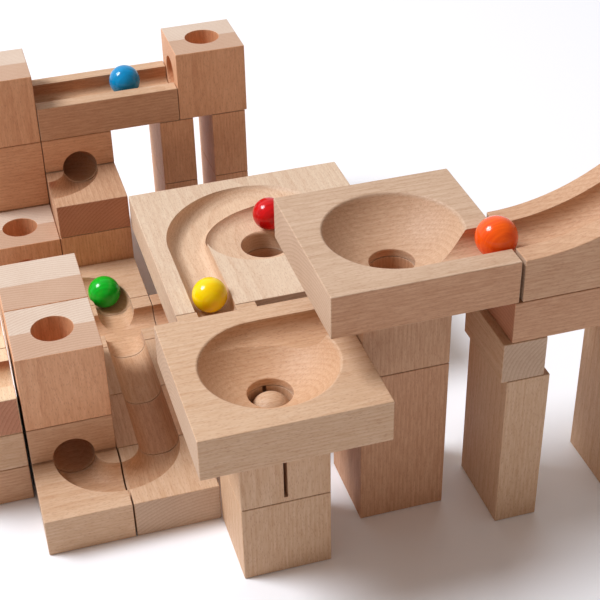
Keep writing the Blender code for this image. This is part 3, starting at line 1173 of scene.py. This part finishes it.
@dataclass(frozen=True)
class Lacquer:
    """Coloured toy lacquer dipped over a turned wooden ball.

    To the eye it is one strong colour under a clear gloss, a touch uneven where the grain below
    lifts it, with a small sharp highlight.
    """

    colour: str
    deep: str
    slot: str
    fibre: Pair = (0.012, 0.0014)  # streaks of the wood below, as on stained beech
    streak_range: Pair = (0.3, 0.7)
    peel: float = 0.0016  # swell of the dipped coat
    relief: Pair = (0.06, 0.0001)  # strength, and height of the swell
    rough: Pair = (0.14, 0.20)
    ior: float = 1.5
    gloss: float = 0.34
    coat: Pair = (0.12, 0.06)  # weight and roughness of the clear coat

    def material(self, name: str) -> bpy.types.Material:
        """Make the lacquer of one ball.

        Args:
            name: Name of the ball.

        Returns:
            The material.
        """
        made, tree, shader = new_material(f"dipped_lacquer_{name}")
        place = add_node(tree, "ShaderNodeTexCoord").outputs["Object"]
        length, width = self.fibre
        drawn = add_node(
            tree, "ShaderNodeVectorMath", {0: place, 1: (1 / length, 1 / width, 1 / length)},
            operation="MULTIPLY",
        )
        cloud = add_node(
            tree, "ShaderNodeTexNoise", {"Vector": drawn.outputs[0], "Scale": 1.0, "Detail": 2.0}
        )
        streak = add_node(
            tree, "ShaderNodeMapRange",
            {0: cloud.outputs["Fac"], 1: self.streak_range[0], 2: self.streak_range[1]},
        )
        mixed = add_node(
            tree, "ShaderNodeMix",
            {0: streak.outputs[0], 6: linear(self.colour), 7: linear(self.deep)},
            data_type="RGBA",
        )
        swell = add_node(
            tree, "ShaderNodeTexNoise", {"Vector": place, "Scale": 1 / self.peel, "Detail": 1.0}
        )
        relief = add_node(
            tree, "ShaderNodeBump",
            {
                "Strength": self.relief[0], "Distance": self.relief[1],
                "Height": swell.outputs["Fac"],
            },
        )
        rough = add_node(
            tree, "ShaderNodeMapRange",
            {0: cloud.outputs["Fac"], 3: self.rough[0], 4: self.rough[1]},
        )
        feed(
            tree, shader,
            {
                "Base Color": mixed.outputs[2], "Roughness": rough.outputs[0],
                "Normal": relief.outputs[0], "IOR": self.ior, "Specular IOR Level": self.gloss,
                "Coat Weight": self.coat[0], "Coat Roughness": self.coat[1],
            },
        )
        return made


def settle(piece: bpy.types.Object, nodes: Iterable[str]) -> bpy.types.Object:
    """Let a finished piece stand for its nodes and move with their body.

    Args:
        piece: The finished piece.
        nodes: Nodes that the piece stands for.

    Returns:
        The same piece.
    """
    names = list(nodes)
    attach(piece, frame["nodes"][names[0]]["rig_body"])
    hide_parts(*names)
    return piece


def corners(nodes: Iterable[str]) -> tuple[Vector, Vector]:
    """Find the box round some nodes.

    Args:
        nodes: Names of the nodes.

    Returns:
        Lowest and highest corner of them together.
    """
    boxes = [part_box(node) for node in nodes]
    low = Vector(min(box[0][axis] for box in boxes) for axis in range(3))
    high = Vector(max(box[1][axis] for box in boxes) for axis in range(3))
    return low, high


@dataclass
class Block:
    """One block of wood with rounded edges, less the ways cut in it."""

    node: str
    finish: Beech
    cuts: tuple[Cutter, ...] = ()
    parts: tuple[str, ...] = ()
    edge: float = 0.0005
    trim: Pair = (0.0, 0.0)  # off the left and the right end, for a wider seam

    def extent(self) -> tuple[Vector, Vector]:
        """Find the box of the wood, with its ends trimmed.

        Returns:
            Lowest and highest corner.
        """
        low, high = corners(self.parts or (self.node,))
        low.x, high.x = low.x + self.trim[0], high.x - self.trim[1]
        return low, high

    def build(self) -> bpy.types.Object:
        """Make the block at its node's place.

        Returns:
            The finished piece.
        """
        low, high = self.extent()
        bm = self.stock(low, high)
        bmesh.ops.recalc_face_normals(bm, faces=bm.faces)
        name = f"{self.node}_wood"
        piece = add_object(name, add_mesh(bm, name))
        carve(piece, self.cuts)
        smooth_piece(piece)
        piece.data.materials.clear()
        piece.data.materials.append(self.finish.material(self.node, low, high))
        return settle(piece, self.parts or (self.node,))

    def stock(self, low: Vector, high: Vector) -> BMesh:
        """Shape the wood before its ways are cut.

        Args:
            low: Lowest corner.
            high: Highest corner.

        Returns:
            Box with rounded edges.
        """
        bm = bmesh.new()
        add_box(bm, low, high)
        self.round_edges(bm)
        return bm

    def round_edges(self, bm: BMesh) -> None:
        """Round every sharp edge of the stock."""
        sharp = [edge for edge in bm.edges if edge.calc_face_angle(0.0) > SHARP]
        round_off(bm, sharp, self.edge, FACETS.edge)


@dataclass
class CurvedBlock(Block):
    """Block whose top is an arc that starts level at its left end."""

    rise: float = 0.045

    def stock(self, low: Vector, high: Vector) -> BMesh:
        """Shape the wood before its groove is cut.

        Args:
            low: Lowest corner.
            high: Highest corner.

        Returns:
            Curved stock with rounded edges.
        """
        bend = self.bend(low, high)
        bm = bmesh.new()
        foot = bm.verts.new(low)
        start = bm.verts.new(bend.pivot - UP * bend.radius)
        sweep = math.asin((high.x - low.x) / bend.radius)
        peak = draw_arc(bm, start, bend.pivot, bend.axis, sweep, FACETS.quarter)
        heel = bm.verts.new((high.x, low.y, low.z))
        for ends in ((start, foot), (foot, heel), (heel, peak)):
            bm.edges.new(ends)
        made = bmesh.ops.contextual_create(bm, geom=bm.edges[:])
        grown = bmesh.ops.extrude_face_region(bm, geom=made["faces"])
        moved = [part for part in grown["geom"] if isinstance(part, Point)]
        bmesh.ops.translate(bm, vec=(0.0, high.y - low.y, 0.0), verts=moved)
        bmesh.ops.recalc_face_normals(bm, faces=bm.faces)
        self.round_edges(bm)
        return bm

    def bend(self, low: Vector, high: Vector) -> Bend:
        """Find the arc of the top, on the front face.

        Args:
            low: Lowest corner.
            high: Highest corner.

        Returns:
            The arc.
        """
        length = high.x - low.x
        radius = (length**2 + self.rise**2) / (2 * self.rise)
        pivot = Vector((low.x, low.y, high.z - self.rise + radius))
        return Bend(pivot, Way.FRONT.vector, radius)


@dataclass
class Feeder:
    """Half blocks that bring a ball into the drop cube, and the tall lane block behind them."""

    column: float = -1.0
    row: float = 1.0
    air: Pair = (0.0, 0.0012)

    def blocks(self) -> list[Block]:
        """Lay out the feeder.

        Returns:
            Blocks of the feeder, from the floor up.
        """
        front, rear = (cell_lane(self.column, self.row + row, 2, Way.RIGHT) for row in (0.5, 1.5))
        channel = Beech(Grain.ALONG_Y, Board.IVORY, Board.DEEP, pith=(0.05, 0.03))
        return [
            Block("feeder_base", PLAIN_BEECH, trim=self.air),
            Block("feeder_middle", PALE_BEECH, trim=self.air),
            Block("feeder_channel", channel, (front,), trim=self.air),
            Block("feeder_rear", channel, (rear,), trim=self.air),
        ]


@dataclass
class FrontTower:
    """Drop cube over a split tunnel, the cubes behind it and the two turns in front."""

    column: float = 0.0
    row: float = 1.0
    air: Pair = (0.0004, 0.0)

    def blocks(self) -> list[Block]:
        """Lay out the front tower.

        Returns:
            Blocks of the tower and of the turns at its foot.
        """
        i, j = self.column, self.row
        middle = GRID.spot(i + 0.5, j + 0.5, 0.0)
        tunnel = top_drop(i, j, 1, 0, Way.FRONT)
        fall = bore_cut(middle + UP * GRID.top(3), middle + UP * GRID.floor(2))
        side = GRID.side(i, j + 0.5, GRID.top(2) + WAYS.lift, Way.RIGHT)
        inlet = Gouge.bore(side, Way.RIGHT.vector).enter().step(GRID.pitch / 2 - WAYS.rim)
        left = lane_turn(i + 0.5, j, 0, Way.FRONT, Way.RIGHT)
        right = lane_turn(i + 1.5, j, 0, Way.FRONT, Way.LEFT)
        return [
            Block("front_turn_left", PALE_BEECH, (left,)),
            Block(
                "front_turn_right", Beech(Grain.ALONG_Y, Board.PALE, pith=(0.02, 0.06)), (right,),
                trim=self.air,
            ),
            Block("tunnel_floor", PLAIN_BEECH, (tunnel,)),
            Block("tunnel_roof", PLAIN_BEECH, (tunnel,)),
            Block("drop_cube", GLUED_BEECH, (fall, inlet)),
            Block("rear_cube_top", GLUED_BEECH),
            Block("rear_cube_bottom", UPRIGHT_BEECH),
        ]


@dataclass
class ReturnLane:
    """Lane at floor level from the rear drop cube to the front turns."""

    column: float = 1.0
    row: float = 1.0

    def blocks(self) -> list[Block]:
        """Lay out the return lane.

        Returns:
            Blocks of the lane, from front to back.
        """
        i, j = self.column, self.row
        along = [cell_lane(i + 0.5, j + step, 0, Way.BACK) for step in range(3)]
        across = cell_lane(i, j + 2.5, 0, Way.RIGHT)
        right = lane_turn(i, j + 3.5, 0, Way.RIGHT, Way.FRONT)
        left = lane_turn(i - 0.5, j + 4, 0, Way.FRONT, Way.RIGHT)
        return [
            Block("lane_front", Beech(Grain.ALONG_Y), (along[0],)),
            Block("lane_back", Beech(Grain.ALONG_Y, Board.PALE), (along[1],)),
            Block("lane_crossing", PALE_BEECH, (along[2], across)),
            Block("lane_end", PLAIN_BEECH, (top_drop(i - 1, j + 2, 1, 0, Way.RIGHT),)),
            Block("rear_turn_right", PALE_BEECH, (right,)),
            Block("rear_turn_left", Beech(Grain.ALONG_Y), (left,)),
        ]


@dataclass
class RearTower:
    """Tower at the back, where a ball comes off the bridge, falls, turns and drops again."""

    column: float = 0.0
    row: float = 6.0

    def blocks(self) -> list[Block]:
        """Lay out the rear tower.

        Returns:
            Blocks of the tower, its junction and its balcony.
        """
        i, j = self.column, self.row
        mouth = GRID.side(i + 1, j + 0.5, GRID.top(4) + WAYS.lift, Way.LEFT)
        reach = GRID.pitch / 2 - GRID.half_gap
        fall = GRID.top(4) + WAYS.lift - GRID.floor(4)
        inlet = elbow_cut(mouth, Way.LEFT, Way.DOWN, reach, fall)
        start = GRID.side(i + 1, j + 0.5, GRID.top(2) + WAYS.lift, Way.RIGHT)
        junction = quarter_cut(Gouge.bore(start, Way.RIGHT.vector), Way.FRONT)
        balcony = lane_turn(i + 1.5, j, 2, Way.FRONT, Way.LEFT)
        amber = Beech(board=Board.AMBER)
        deep = Beech(Grain.ALONG_Y, ends=Board.DEEP, pith=(0.05, 0.05))
        return [
            Block("tower_base", UPRIGHT_BEECH),
            Block("tower_middle", amber, (top_drop(i, j, 3, 2, Way.RIGHT),)),
            Block("tower_top", GLUED_BEECH, (inlet,)),
            Block("junction_base", UPRIGHT_BEECH),
            Block("junction_floor", PALE_BEECH, (junction,)),
            Block("junction_roof", amber, (junction,)),
            Block("balcony_base", Beech(Grain.UPRIGHT, Board.AMBER)),
            Block("balcony_turn", deep, (balcony,)),
            Block("rear_drop_cube", GLUED_BEECH, (top_drop(i, j - 1, 1, 0, Way.FRONT),)),
        ]


@dataclass
class Bridge:
    """Trough between the rear tower and the entry cube, with the posts under it."""

    column: float = 1.0
    row: float = 6.0
    half_width: float = 0.013
    foot: float = 0.004

    def blocks(self) -> list[Block]:
        """Lay out the bridge.

        Returns:
            Trough, entry cube and posts.
        """
        i, j = self.column, self.row
        feet = (self.foot, self.foot)
        trough = cell_lane(i, j + 0.5, 4, Way.RIGHT, 2, half=self.half_width, feet=feet)
        entry = top_drop(i + 2, j, 5, 4, Way.LEFT)
        amber = Beech(Grain.UPRIGHT, Board.AMBER, pith=(0.02, 0.05))
        posts = [
            Block(f"bridge_post_{side}_{height}", amber)
            for side in ("left", "right")
            for height in ("lower", "upper")
        ]
        return [
            # The trough's front and back faces are painted in shade with the red board.
            Block("bridge_trough", Beech(Grain.ALONG_X, Board.PALE, flank_shade=Board.RED), (trough,)),
            Block("entry_cube", GLUED_BEECH, (entry,)),
            *posts,
        ]


@dataclass
class SpiralTable:
    """Spiral plate with its dish, the drop under its hole and the blocks that carry it."""

    column: float = 2.0
    row: float = 2.0
    half_width: float = 0.0115
    feet: Pair = (0.0092, 0.005)
    fade_deg: float = 38.0
    dish: float = 0.032
    dish_rim: float = 0.0095
    dish_fall: float = 0.002
    dish_foot: float = 0.008
    dish_shift: Pair = (-0.0022, 0.0027)
    hole: float = 0.014
    hole_flare: float = 0.002
    hole_shift: Pair = (0.0024, 0.0027)

    @property
    def middle(self) -> Vector:
        """Middle of the plate's top."""
        return GRID.spot(self.column + 1.5, self.row + 1.5, GRID.top(2))

    def lane(self) -> Gouge:
        """Cut the lane from the front edge along the left side and round the back, rising out.

        Returns:
            The cutter.
        """
        mouth = GRID.side(self.column + 0.5, self.row, GRID.top(2), Way.BACK)
        tool = Gouge.lane(mouth, Way.BACK.vector, self.half_width, self.feet).enter()
        tool.step((self.middle - tool.place).y)
        bend = Bend(self.middle, -UP, GRID.pitch)
        steps = 3 * FACETS.quarter
        swing = math.radians(180.0 - self.fade_deg) / steps
        climb = (WAYS.lane_depth + WAYS.rim) / steps**2
        for number in range(steps):
            tool.turn(bend, swing, 1, climb * (2 * number + 1))
        return tool

    def bowl(self) -> Lathe:
        """Turn the dish with its gently falling floor.

        Returns:
            The cutter.
        """
        axis = self.middle + Vector((*self.dish_shift, 0.0))
        tool = Lathe(axis, 0.0, WAYS.lip).to(self.dish + WAYS.lip, WAYS.lip)
        tool.to(self.dish + WAYS.lip, WAYS.clear).to(self.dish, WAYS.clear)
        tool.to(self.dish, -self.dish_rim).to(0.0, -self.dish_rim - self.dish_fall).revolve()
        tool.soften(self.dish, -self.dish_rim, self.dish_foot, FACETS.foot)
        return tool.soften(self.dish, WAYS.clear, WAYS.rim)

    def drain(self) -> Lathe:
        """Turn the hole with its flared rim on the dish's floor, on through the block below.

        Returns:
            The cutter.
        """
        axis = self.middle + Vector((*self.hole_shift, 0.0))
        under = -2 * GRID.level - WAYS.overrun
        tool = Lathe(axis, 0.0, -self.dish_rim).to(self.hole + self.hole_flare, -self.dish_rim)
        tool.to(self.hole, -self.dish_rim - self.hole_flare).to(self.hole, under).to(0.0, under)
        flare = self.dish_rim + self.hole_flare
        return tool.revolve().soften(self.hole, -flare, self.hole_flare / 2)

    def blocks(self) -> list[Block]:
        """Lay out the spiral table.

        Returns:
            Plate, outlet blocks, legs and the start block.
        """
        i, j = self.column, self.row
        drop, hole = top_drop(i + 1, j + 1, 1, 0, Way.LEFT), self.drain()
        outlet = cell_lane(i, j + 1.5, 0, Way.RIGHT)
        start = top_drop(i, j - 1, 3, 2, Way.BACK)
        plate = Beech(Grain.ALONG_Y, Board.HONEY, pith=(0.02, 0.10))
        return [
            Block("spiral_plate", plate, (self.lane(), self.bowl(), hole)),
            Block("outlet_ring", PLAIN_BEECH, (drop, hole)),
            Block("outlet_catch", PLAIN_BEECH, (drop,)),
            Block("outlet_channel", PLAIN_BEECH, (outlet,)),
            Block("spiral_leg_front", UPRIGHT_BEECH),
            Block("spiral_leg_back", UPRIGHT_BEECH),
            Block("start_leg", UPRIGHT_BEECH),
            Block("start_channel", PALE_BEECH, (start,)),
        ]


@dataclass
class Funnels:
    """Upper and lower funnel plates on their columns, the upper one above the lower."""

    upper: Triple = (3.0, -1.0, 6.0)  # grid lines at the plate's left and front, and its layer
    lower: Triple = (1.5, -1.5, 4.0)
    floor: float = 0.0025
    bowl_rim: float = 0.0008
    drain_rim: float = 0.0005
    holder_depth: float = 0.0175
    inlet_sweep_deg: float = 62.0
    inlet_climb: float = 0.0036
    slot: float = 0.002
    slot_floor: float = 0.003

    def bowl(self, i: float, j: float, k: float) -> Lathe:
        """Turn a round bowl with its drain.

        Args:
            i: Grid line at the left of the plate.
            j: Grid line at the front of the plate.
            k: Layer of the plate.

        Returns:
            The cutter.
        """
        rim = GRID.pitch / 2 + WAYS.bore
        deep = GRID.layer - self.floor
        centre = (rim**2 - deep**2) / (2 * deep)
        radius = math.hypot(rim, centre - WAYS.clear)
        swing = math.asin(rim / radius) - math.asin(WAYS.bore / radius)
        drain = centre - math.sqrt(radius**2 - WAYS.bore**2)
        under = -GRID.layer - WAYS.clear
        tool = Lathe(GRID.spot(i + 1, j + 1, GRID.top(k)), 0.0, WAYS.lip)
        tool.to(rim + WAYS.lip, WAYS.lip).to(rim + WAYS.lip, WAYS.clear).to(rim, WAYS.clear)
        tool.arc(centre, swing).to(WAYS.bore, under).to(WAYS.bore + WAYS.lip, under)
        tool.to(WAYS.bore + WAYS.lip, under - WAYS.lip).to(0.0, under - WAYS.lip).revolve()
        tool.soften(rim, WAYS.clear, self.bowl_rim).soften(WAYS.bore, drain, self.drain_rim)
        return tool.soften(WAYS.bore, under, WAYS.rim)

    def inlet(self, i: float, j: float, k: float, side: Way) -> Gouge:
        """Cut the lane that enters a plate from its right edge and fades round the bowl's wall.

        Args:
            i: Grid line at the left of the plate.
            j: Grid line at the front of the plate.
            k: Layer of the plate.
            side: Side of the bowl that the lane meets.

        Returns:
            The cutter.
        """
        middle = GRID.spot(i + 1, j + 1, GRID.top(k))
        radius = GRID.pitch / 2
        mouth = middle + side.vector * radius + Way.RIGHT.vector * (GRID.pitch - GRID.half_gap)
        tool = Gouge.lane(mouth, Way.LEFT.vector).enter()
        tool.step(GRID.pitch - GRID.half_gap - WAYS.rim)
        bend = Bend(middle, side.vector.cross(Way.LEFT.vector), radius)
        sweep = math.radians(self.inlet_sweep_deg)
        return tool.turn(bend, sweep, FACETS.quarter, self.inlet_climb)

    def ways(self, i: float, j: float, k: float, side: Way) -> tuple[Cutter, ...]:
        """Bowl and inlet of a plate."""
        return self.bowl(i, j, k), self.inlet(i, j, k, side)

    def slotted(self) -> Block:
        """Make the cube with a blind bore from above and a narrow slot through it.

        Returns:
            The block.
        """
        parts = tuple(f"slotted_cube_{name}" for name in ("floor", "left", "right"))
        low, high = corners(parts)
        middle = (low + high) / 2
        mouth = Vector((middle.x, middle.y, high.z))
        holder = Gouge.bore(mouth, Way.DOWN.vector).enter().step(self.holder_depth - WAYS.rim)
        aside = Vector((self.slot / 2, GRID.pitch, 0.0))
        base = Vector((middle.x, middle.y, low.z + self.slot_floor))
        slot = Saw(base - aside, mouth + aside + UP * WAYS.overrun)
        wood = Beech(Grain.UPRIGHT, Board.PALE, pith=(0.09, 0.01))
        return Block("slotted_cube", wood, (holder, slot), parts)

    def blocks(self) -> list[Block]:
        """Lay out the funnels.

        Returns:
            Plates, elbow, slotted cube and columns.
        """
        plate = Beech(Grain.ALONG_X, Board.PALE, pith=(0.03, 0.07))
        # The upper plate's front and back faces are painted in shade with the red board.
        dull = Beech(Grain.ALONG_X, Board.DULL, flank_shade=Board.RED, pith=(0.03, 0.07))
        red = Beech(Grain.UPRIGHT, Board.RED, pith=(0.02, 0.06))
        i, j, k = self.upper
        elbow = top_drop(i + 0.5, j + 0.5, k - 1, k - 2, Way.LEFT)
        return [
            Block("upper_funnel", dull, self.ways(i, j, k, Way.FRONT)),
            Block("upper_elbow", UPRIGHT_BEECH, (elbow,)),
            Block("upper_column", red),
            Block("lower_funnel", plate, self.ways(*self.lower, Way.BACK)),
            self.slotted(),
            Block("lower_column", Beech(Grain.UPRIGHT, Board.PALE)),
        ]


@dataclass
class Chute:
    """Curved chute on a beam and two posts, which runs a ball into the upper funnel."""

    air: Pair = (0.0014, 0.0)

    def blocks(self) -> list[Block]:
        """Lay out the chute.

        Returns:
            Chute, beam, spacers and posts.
        """
        body = CurvedBlock("chute", Beech(recess_shade_colour=None), trim=self.air)
        low, high = body.extent()
        top = body.bend(low, high)
        middle = Vector((low.x, (low.y + high.y) / 2, high.z - body.rise))
        bend = Bend(Vector((low.x, middle.y, top.pivot.z)), top.axis, top.radius)
        sweep = math.asin((high.x - low.x) / top.radius) - WAYS.rim / top.radius
        groove = Gouge.lane(middle, Way.RIGHT.vector).enter(bend)
        body.cuts = (groove.turn(bend, sweep, 2 * FACETS.quarter).step(WAYS.overrun),)
        upright = Beech(Grain.UPRIGHT, Board.PALE)
        spacer = Beech(Grain.ALONG_Y, Board.PALE, pith=(0.04, 0.03))
        return [
            body,
            # The beam's ends take the deep board, a painted shadow for its left end under the upper
            # funnel.
            Block("chute_beam", Beech(Grain.ALONG_X, Board.RED, Board.DEEP)),
            Block("chute_spacer_left", spacer),
            Block("chute_spacer_right", spacer),
            Block("chute_post_left", upright),
            Block("chute_post_right", upright),
        ]


@dataclass
class Balls:
    """Five lacquered balls and a plain one, each turned with a small flat at its poles."""

    flat: float = 0.0007
    tilt: Pair = (0.7, 0.4)
    finishes: dict[str, Lacquer | Beech] = field(
        default_factory=lambda: {
            "ball_blue": Lacquer("#0796D2", "#0283B8", "blue_lacquer"),
            "ball_green": Lacquer("#06C22A", "#04A81E", "green_lacquer"),
            "ball_yellow": Lacquer("#FFE000", "#FFD000", "yellow_lacquer"),
            "ball_red": Lacquer("#DC1418", "#BC080E", "red_lacquer"),
            "ball_orange": Lacquer("#FF640E", "#EA4A08", "orange_lacquer"),
            "ball_plain": Beech(Grain.ALONG_X, Board.PALE, recess_shade_colour=None),
        }
    )

    def build(self) -> list[bpy.types.Object]:
        """Make every ball at its node's place.

        Returns:
            The finished balls.
        """
        return [self.ball(node, finish) for node, finish in self.finishes.items()]

    def ball(self, node: str, finish: Lacquer | Beech) -> bpy.types.Object:
        """Turn one ball.

        Args:
            node: Node that it stands for.
            finish: Its lacquer or its bare wood.

        Returns:
            The finished ball.
        """
        low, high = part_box(node)
        middle, radius = (low + high) / 2, (high.z - low.z) / 2
        bm = bmesh.new()
        lean = math.asin(self.flat / radius)
        start = bm.verts.new((radius * math.sin(lean), 0.0, radius * math.cos(lean)))
        draw_arc(bm, start, ORIGIN, Way.BACK.vector, math.pi - 2 * lean, FACETS.ball // 2)
        turn_wire(bm, ORIGIN, FACETS.ball)
        bmesh.ops.holes_fill(bm, edges=bm.edges, sides=0)
        bmesh.ops.recalc_face_normals(bm, faces=bm.faces)
        turn = Matrix.Rotation(self.tilt[0], 4, "X") @ Matrix.Rotation(self.tilt[1], 4, "Y")
        bmesh.ops.transform(bm, matrix=Matrix.Translation(middle) @ turn, verts=bm.verts)
        mesh = add_mesh(bm, f"{node}_turned")
        mesh.shade_smooth()
        piece = add_object(mesh.name, mesh)
        if isinstance(finish, Beech):
            mesh.materials.append(finish.material(node, low, high))
            return settle(piece, (node,))
        mesh.materials.append(finish.material(node))
        return settle(piece, (node,))


@dataclass
class Studio:
    """White paper, one soft key light from the upper left and a fill from behind."""

    camera_place: Triple = (-0.1461, -0.62685, 0.4925)
    yaw_deg: float = -14.26
    pitch_deg: float = 54.876
    roll_deg: float = -2.386
    sensor: float = 36.0
    lens: float = 80.64
    clip: Pair = (0.01, 20.0)
    shift: Pair = (0.0608, 0.0131)
    key_direction: Triple = (-0.574, 0.177, 0.81)
    key_distance: float = 3.5
    key_size: float = 1.4
    key_power: float = 121.0
    key_colour: str = "#F4F8FF"
    fill: float = 0.80
    room_colour: str = "#FFEDE2"
    room: float = 0.29
    fill_from: Triple = (-0.25, 0.93, 0.27)
    fill_edge: Pair = (0.15, 0.85)
    floor_size: float = 16.0
    floor_drop: float = 0.0002
    floor_colour: str = "#F9F9FB"
    floor_rough: float = 0.9

    def build(self) -> None:
        """Set up the camera, the lights and the floor."""
        self.set_camera()
        self.set_key()
        self.set_world()
        self.lay_floor()
        bpy.context.scene.view_settings.view_transform = "Standard"

    def set_camera(self) -> None:
        """Stand the camera where the photograph was taken from."""
        data = bpy.data.cameras.new("camera")
        data.sensor_width, data.lens = self.sensor, self.lens
        data.shift_x, data.shift_y = self.shift
        data.clip_start, data.clip_end = self.clip
        turns = zip((self.yaw_deg, self.pitch_deg, self.roll_deg), "ZXZ")
        place = Matrix.Translation(self.camera_place)
        for angle, axis in turns:
            place = place @ Matrix.Rotation(math.radians(angle), 4, axis)
        camera = add_object("camera", data)
        camera.matrix_world = place
        bpy.context.scene.camera = camera

    def set_key(self) -> None:
        """Hang the soft box."""
        data = bpy.data.lights.new("key", "AREA")
        data.shape = "DISK"
        data.size = self.key_size
        data.energy = self.key_power
        data.color = linear(self.key_colour)[:3]
        key = add_object("key", data)
        towards = Vector(self.key_direction).normalized()
        key.location = towards * self.key_distance
        key.rotation_mode = "QUATERNION"
        key.rotation_quaternion = towards.to_track_quat("Z", "Y")

    def set_world(self) -> None:
        """Fill the room with white light from above and behind and a dim warm one from in front."""
        world = bpy.data.worlds.new("studio")
        world.use_nodes = True
        bpy.context.scene.world = world
        tree = world.node_tree
        towards = add_node(tree, "ShaderNodeTexCoord").outputs["Generated"]
        facing = add_node(
            tree, "ShaderNodeVectorMath", {0: towards, 1: self.fill_from}, operation="DOT_PRODUCT"
        )
        share = add_node(
            tree, "ShaderNodeMapRange",
            {0: facing.outputs["Value"], 1: self.fill_edge[0], 2: self.fill_edge[1]},
            interpolation_type="SMOOTHSTEP",
        )
        room = [part * self.room for part in linear(self.room_colour)]
        light = add_node(
            tree, "ShaderNodeMix", {0: share.outputs[0], 6: room, 7: [self.fill] * 3 + [1.0]},
            data_type="RGBA",
        )
        tree.links.new(light.outputs[2], tree.nodes["Background"].inputs["Color"])

    def lay_floor(self) -> None:
        """Lay the white paper under the run."""
        bm = bmesh.new()
        bmesh.ops.create_grid(
            bm, x_segments=1, y_segments=1, size=self.floor_size / 2,
            matrix=Matrix.Translation((0.0, 0.0, -self.floor_drop)),
        )
        mesh = add_mesh(bm, "floor")
        floor = add_object("floor", mesh)
        # Matt white paper, which gives the eye an even white without gloss.
        material, tree, shader = new_material("white_paper")
        feed(
            tree, shader,
            {
                "Base Color": linear(self.floor_colour), "Roughness": self.floor_rough,
                "Specular IOR Level": 0.0,
            },
        )
        mesh.materials.append(material)


def main() -> None:
    """Build the run block by block, then the balls and the studio."""
    logging.basicConfig(level=logging.INFO, format="%(name)s: %(message)s")
    Studio().build()
    parts = (Feeder, FrontTower, ReturnLane, RearTower, Bridge, SpiralTable, Funnels, Chute)
    for part in (make() for make in parts):
        for block in part.blocks():
            piece = block.build()
            LOG.info("%s: %s, %d faces", type(part).__name__, piece.name, len(piece.data.polygons))
    for piece in Balls().build():
        LOG.info("Balls: %s, %d faces", piece.name, len(piece.data.polygons))
    clear_cutters()


if __name__ == "__main__":
    main()
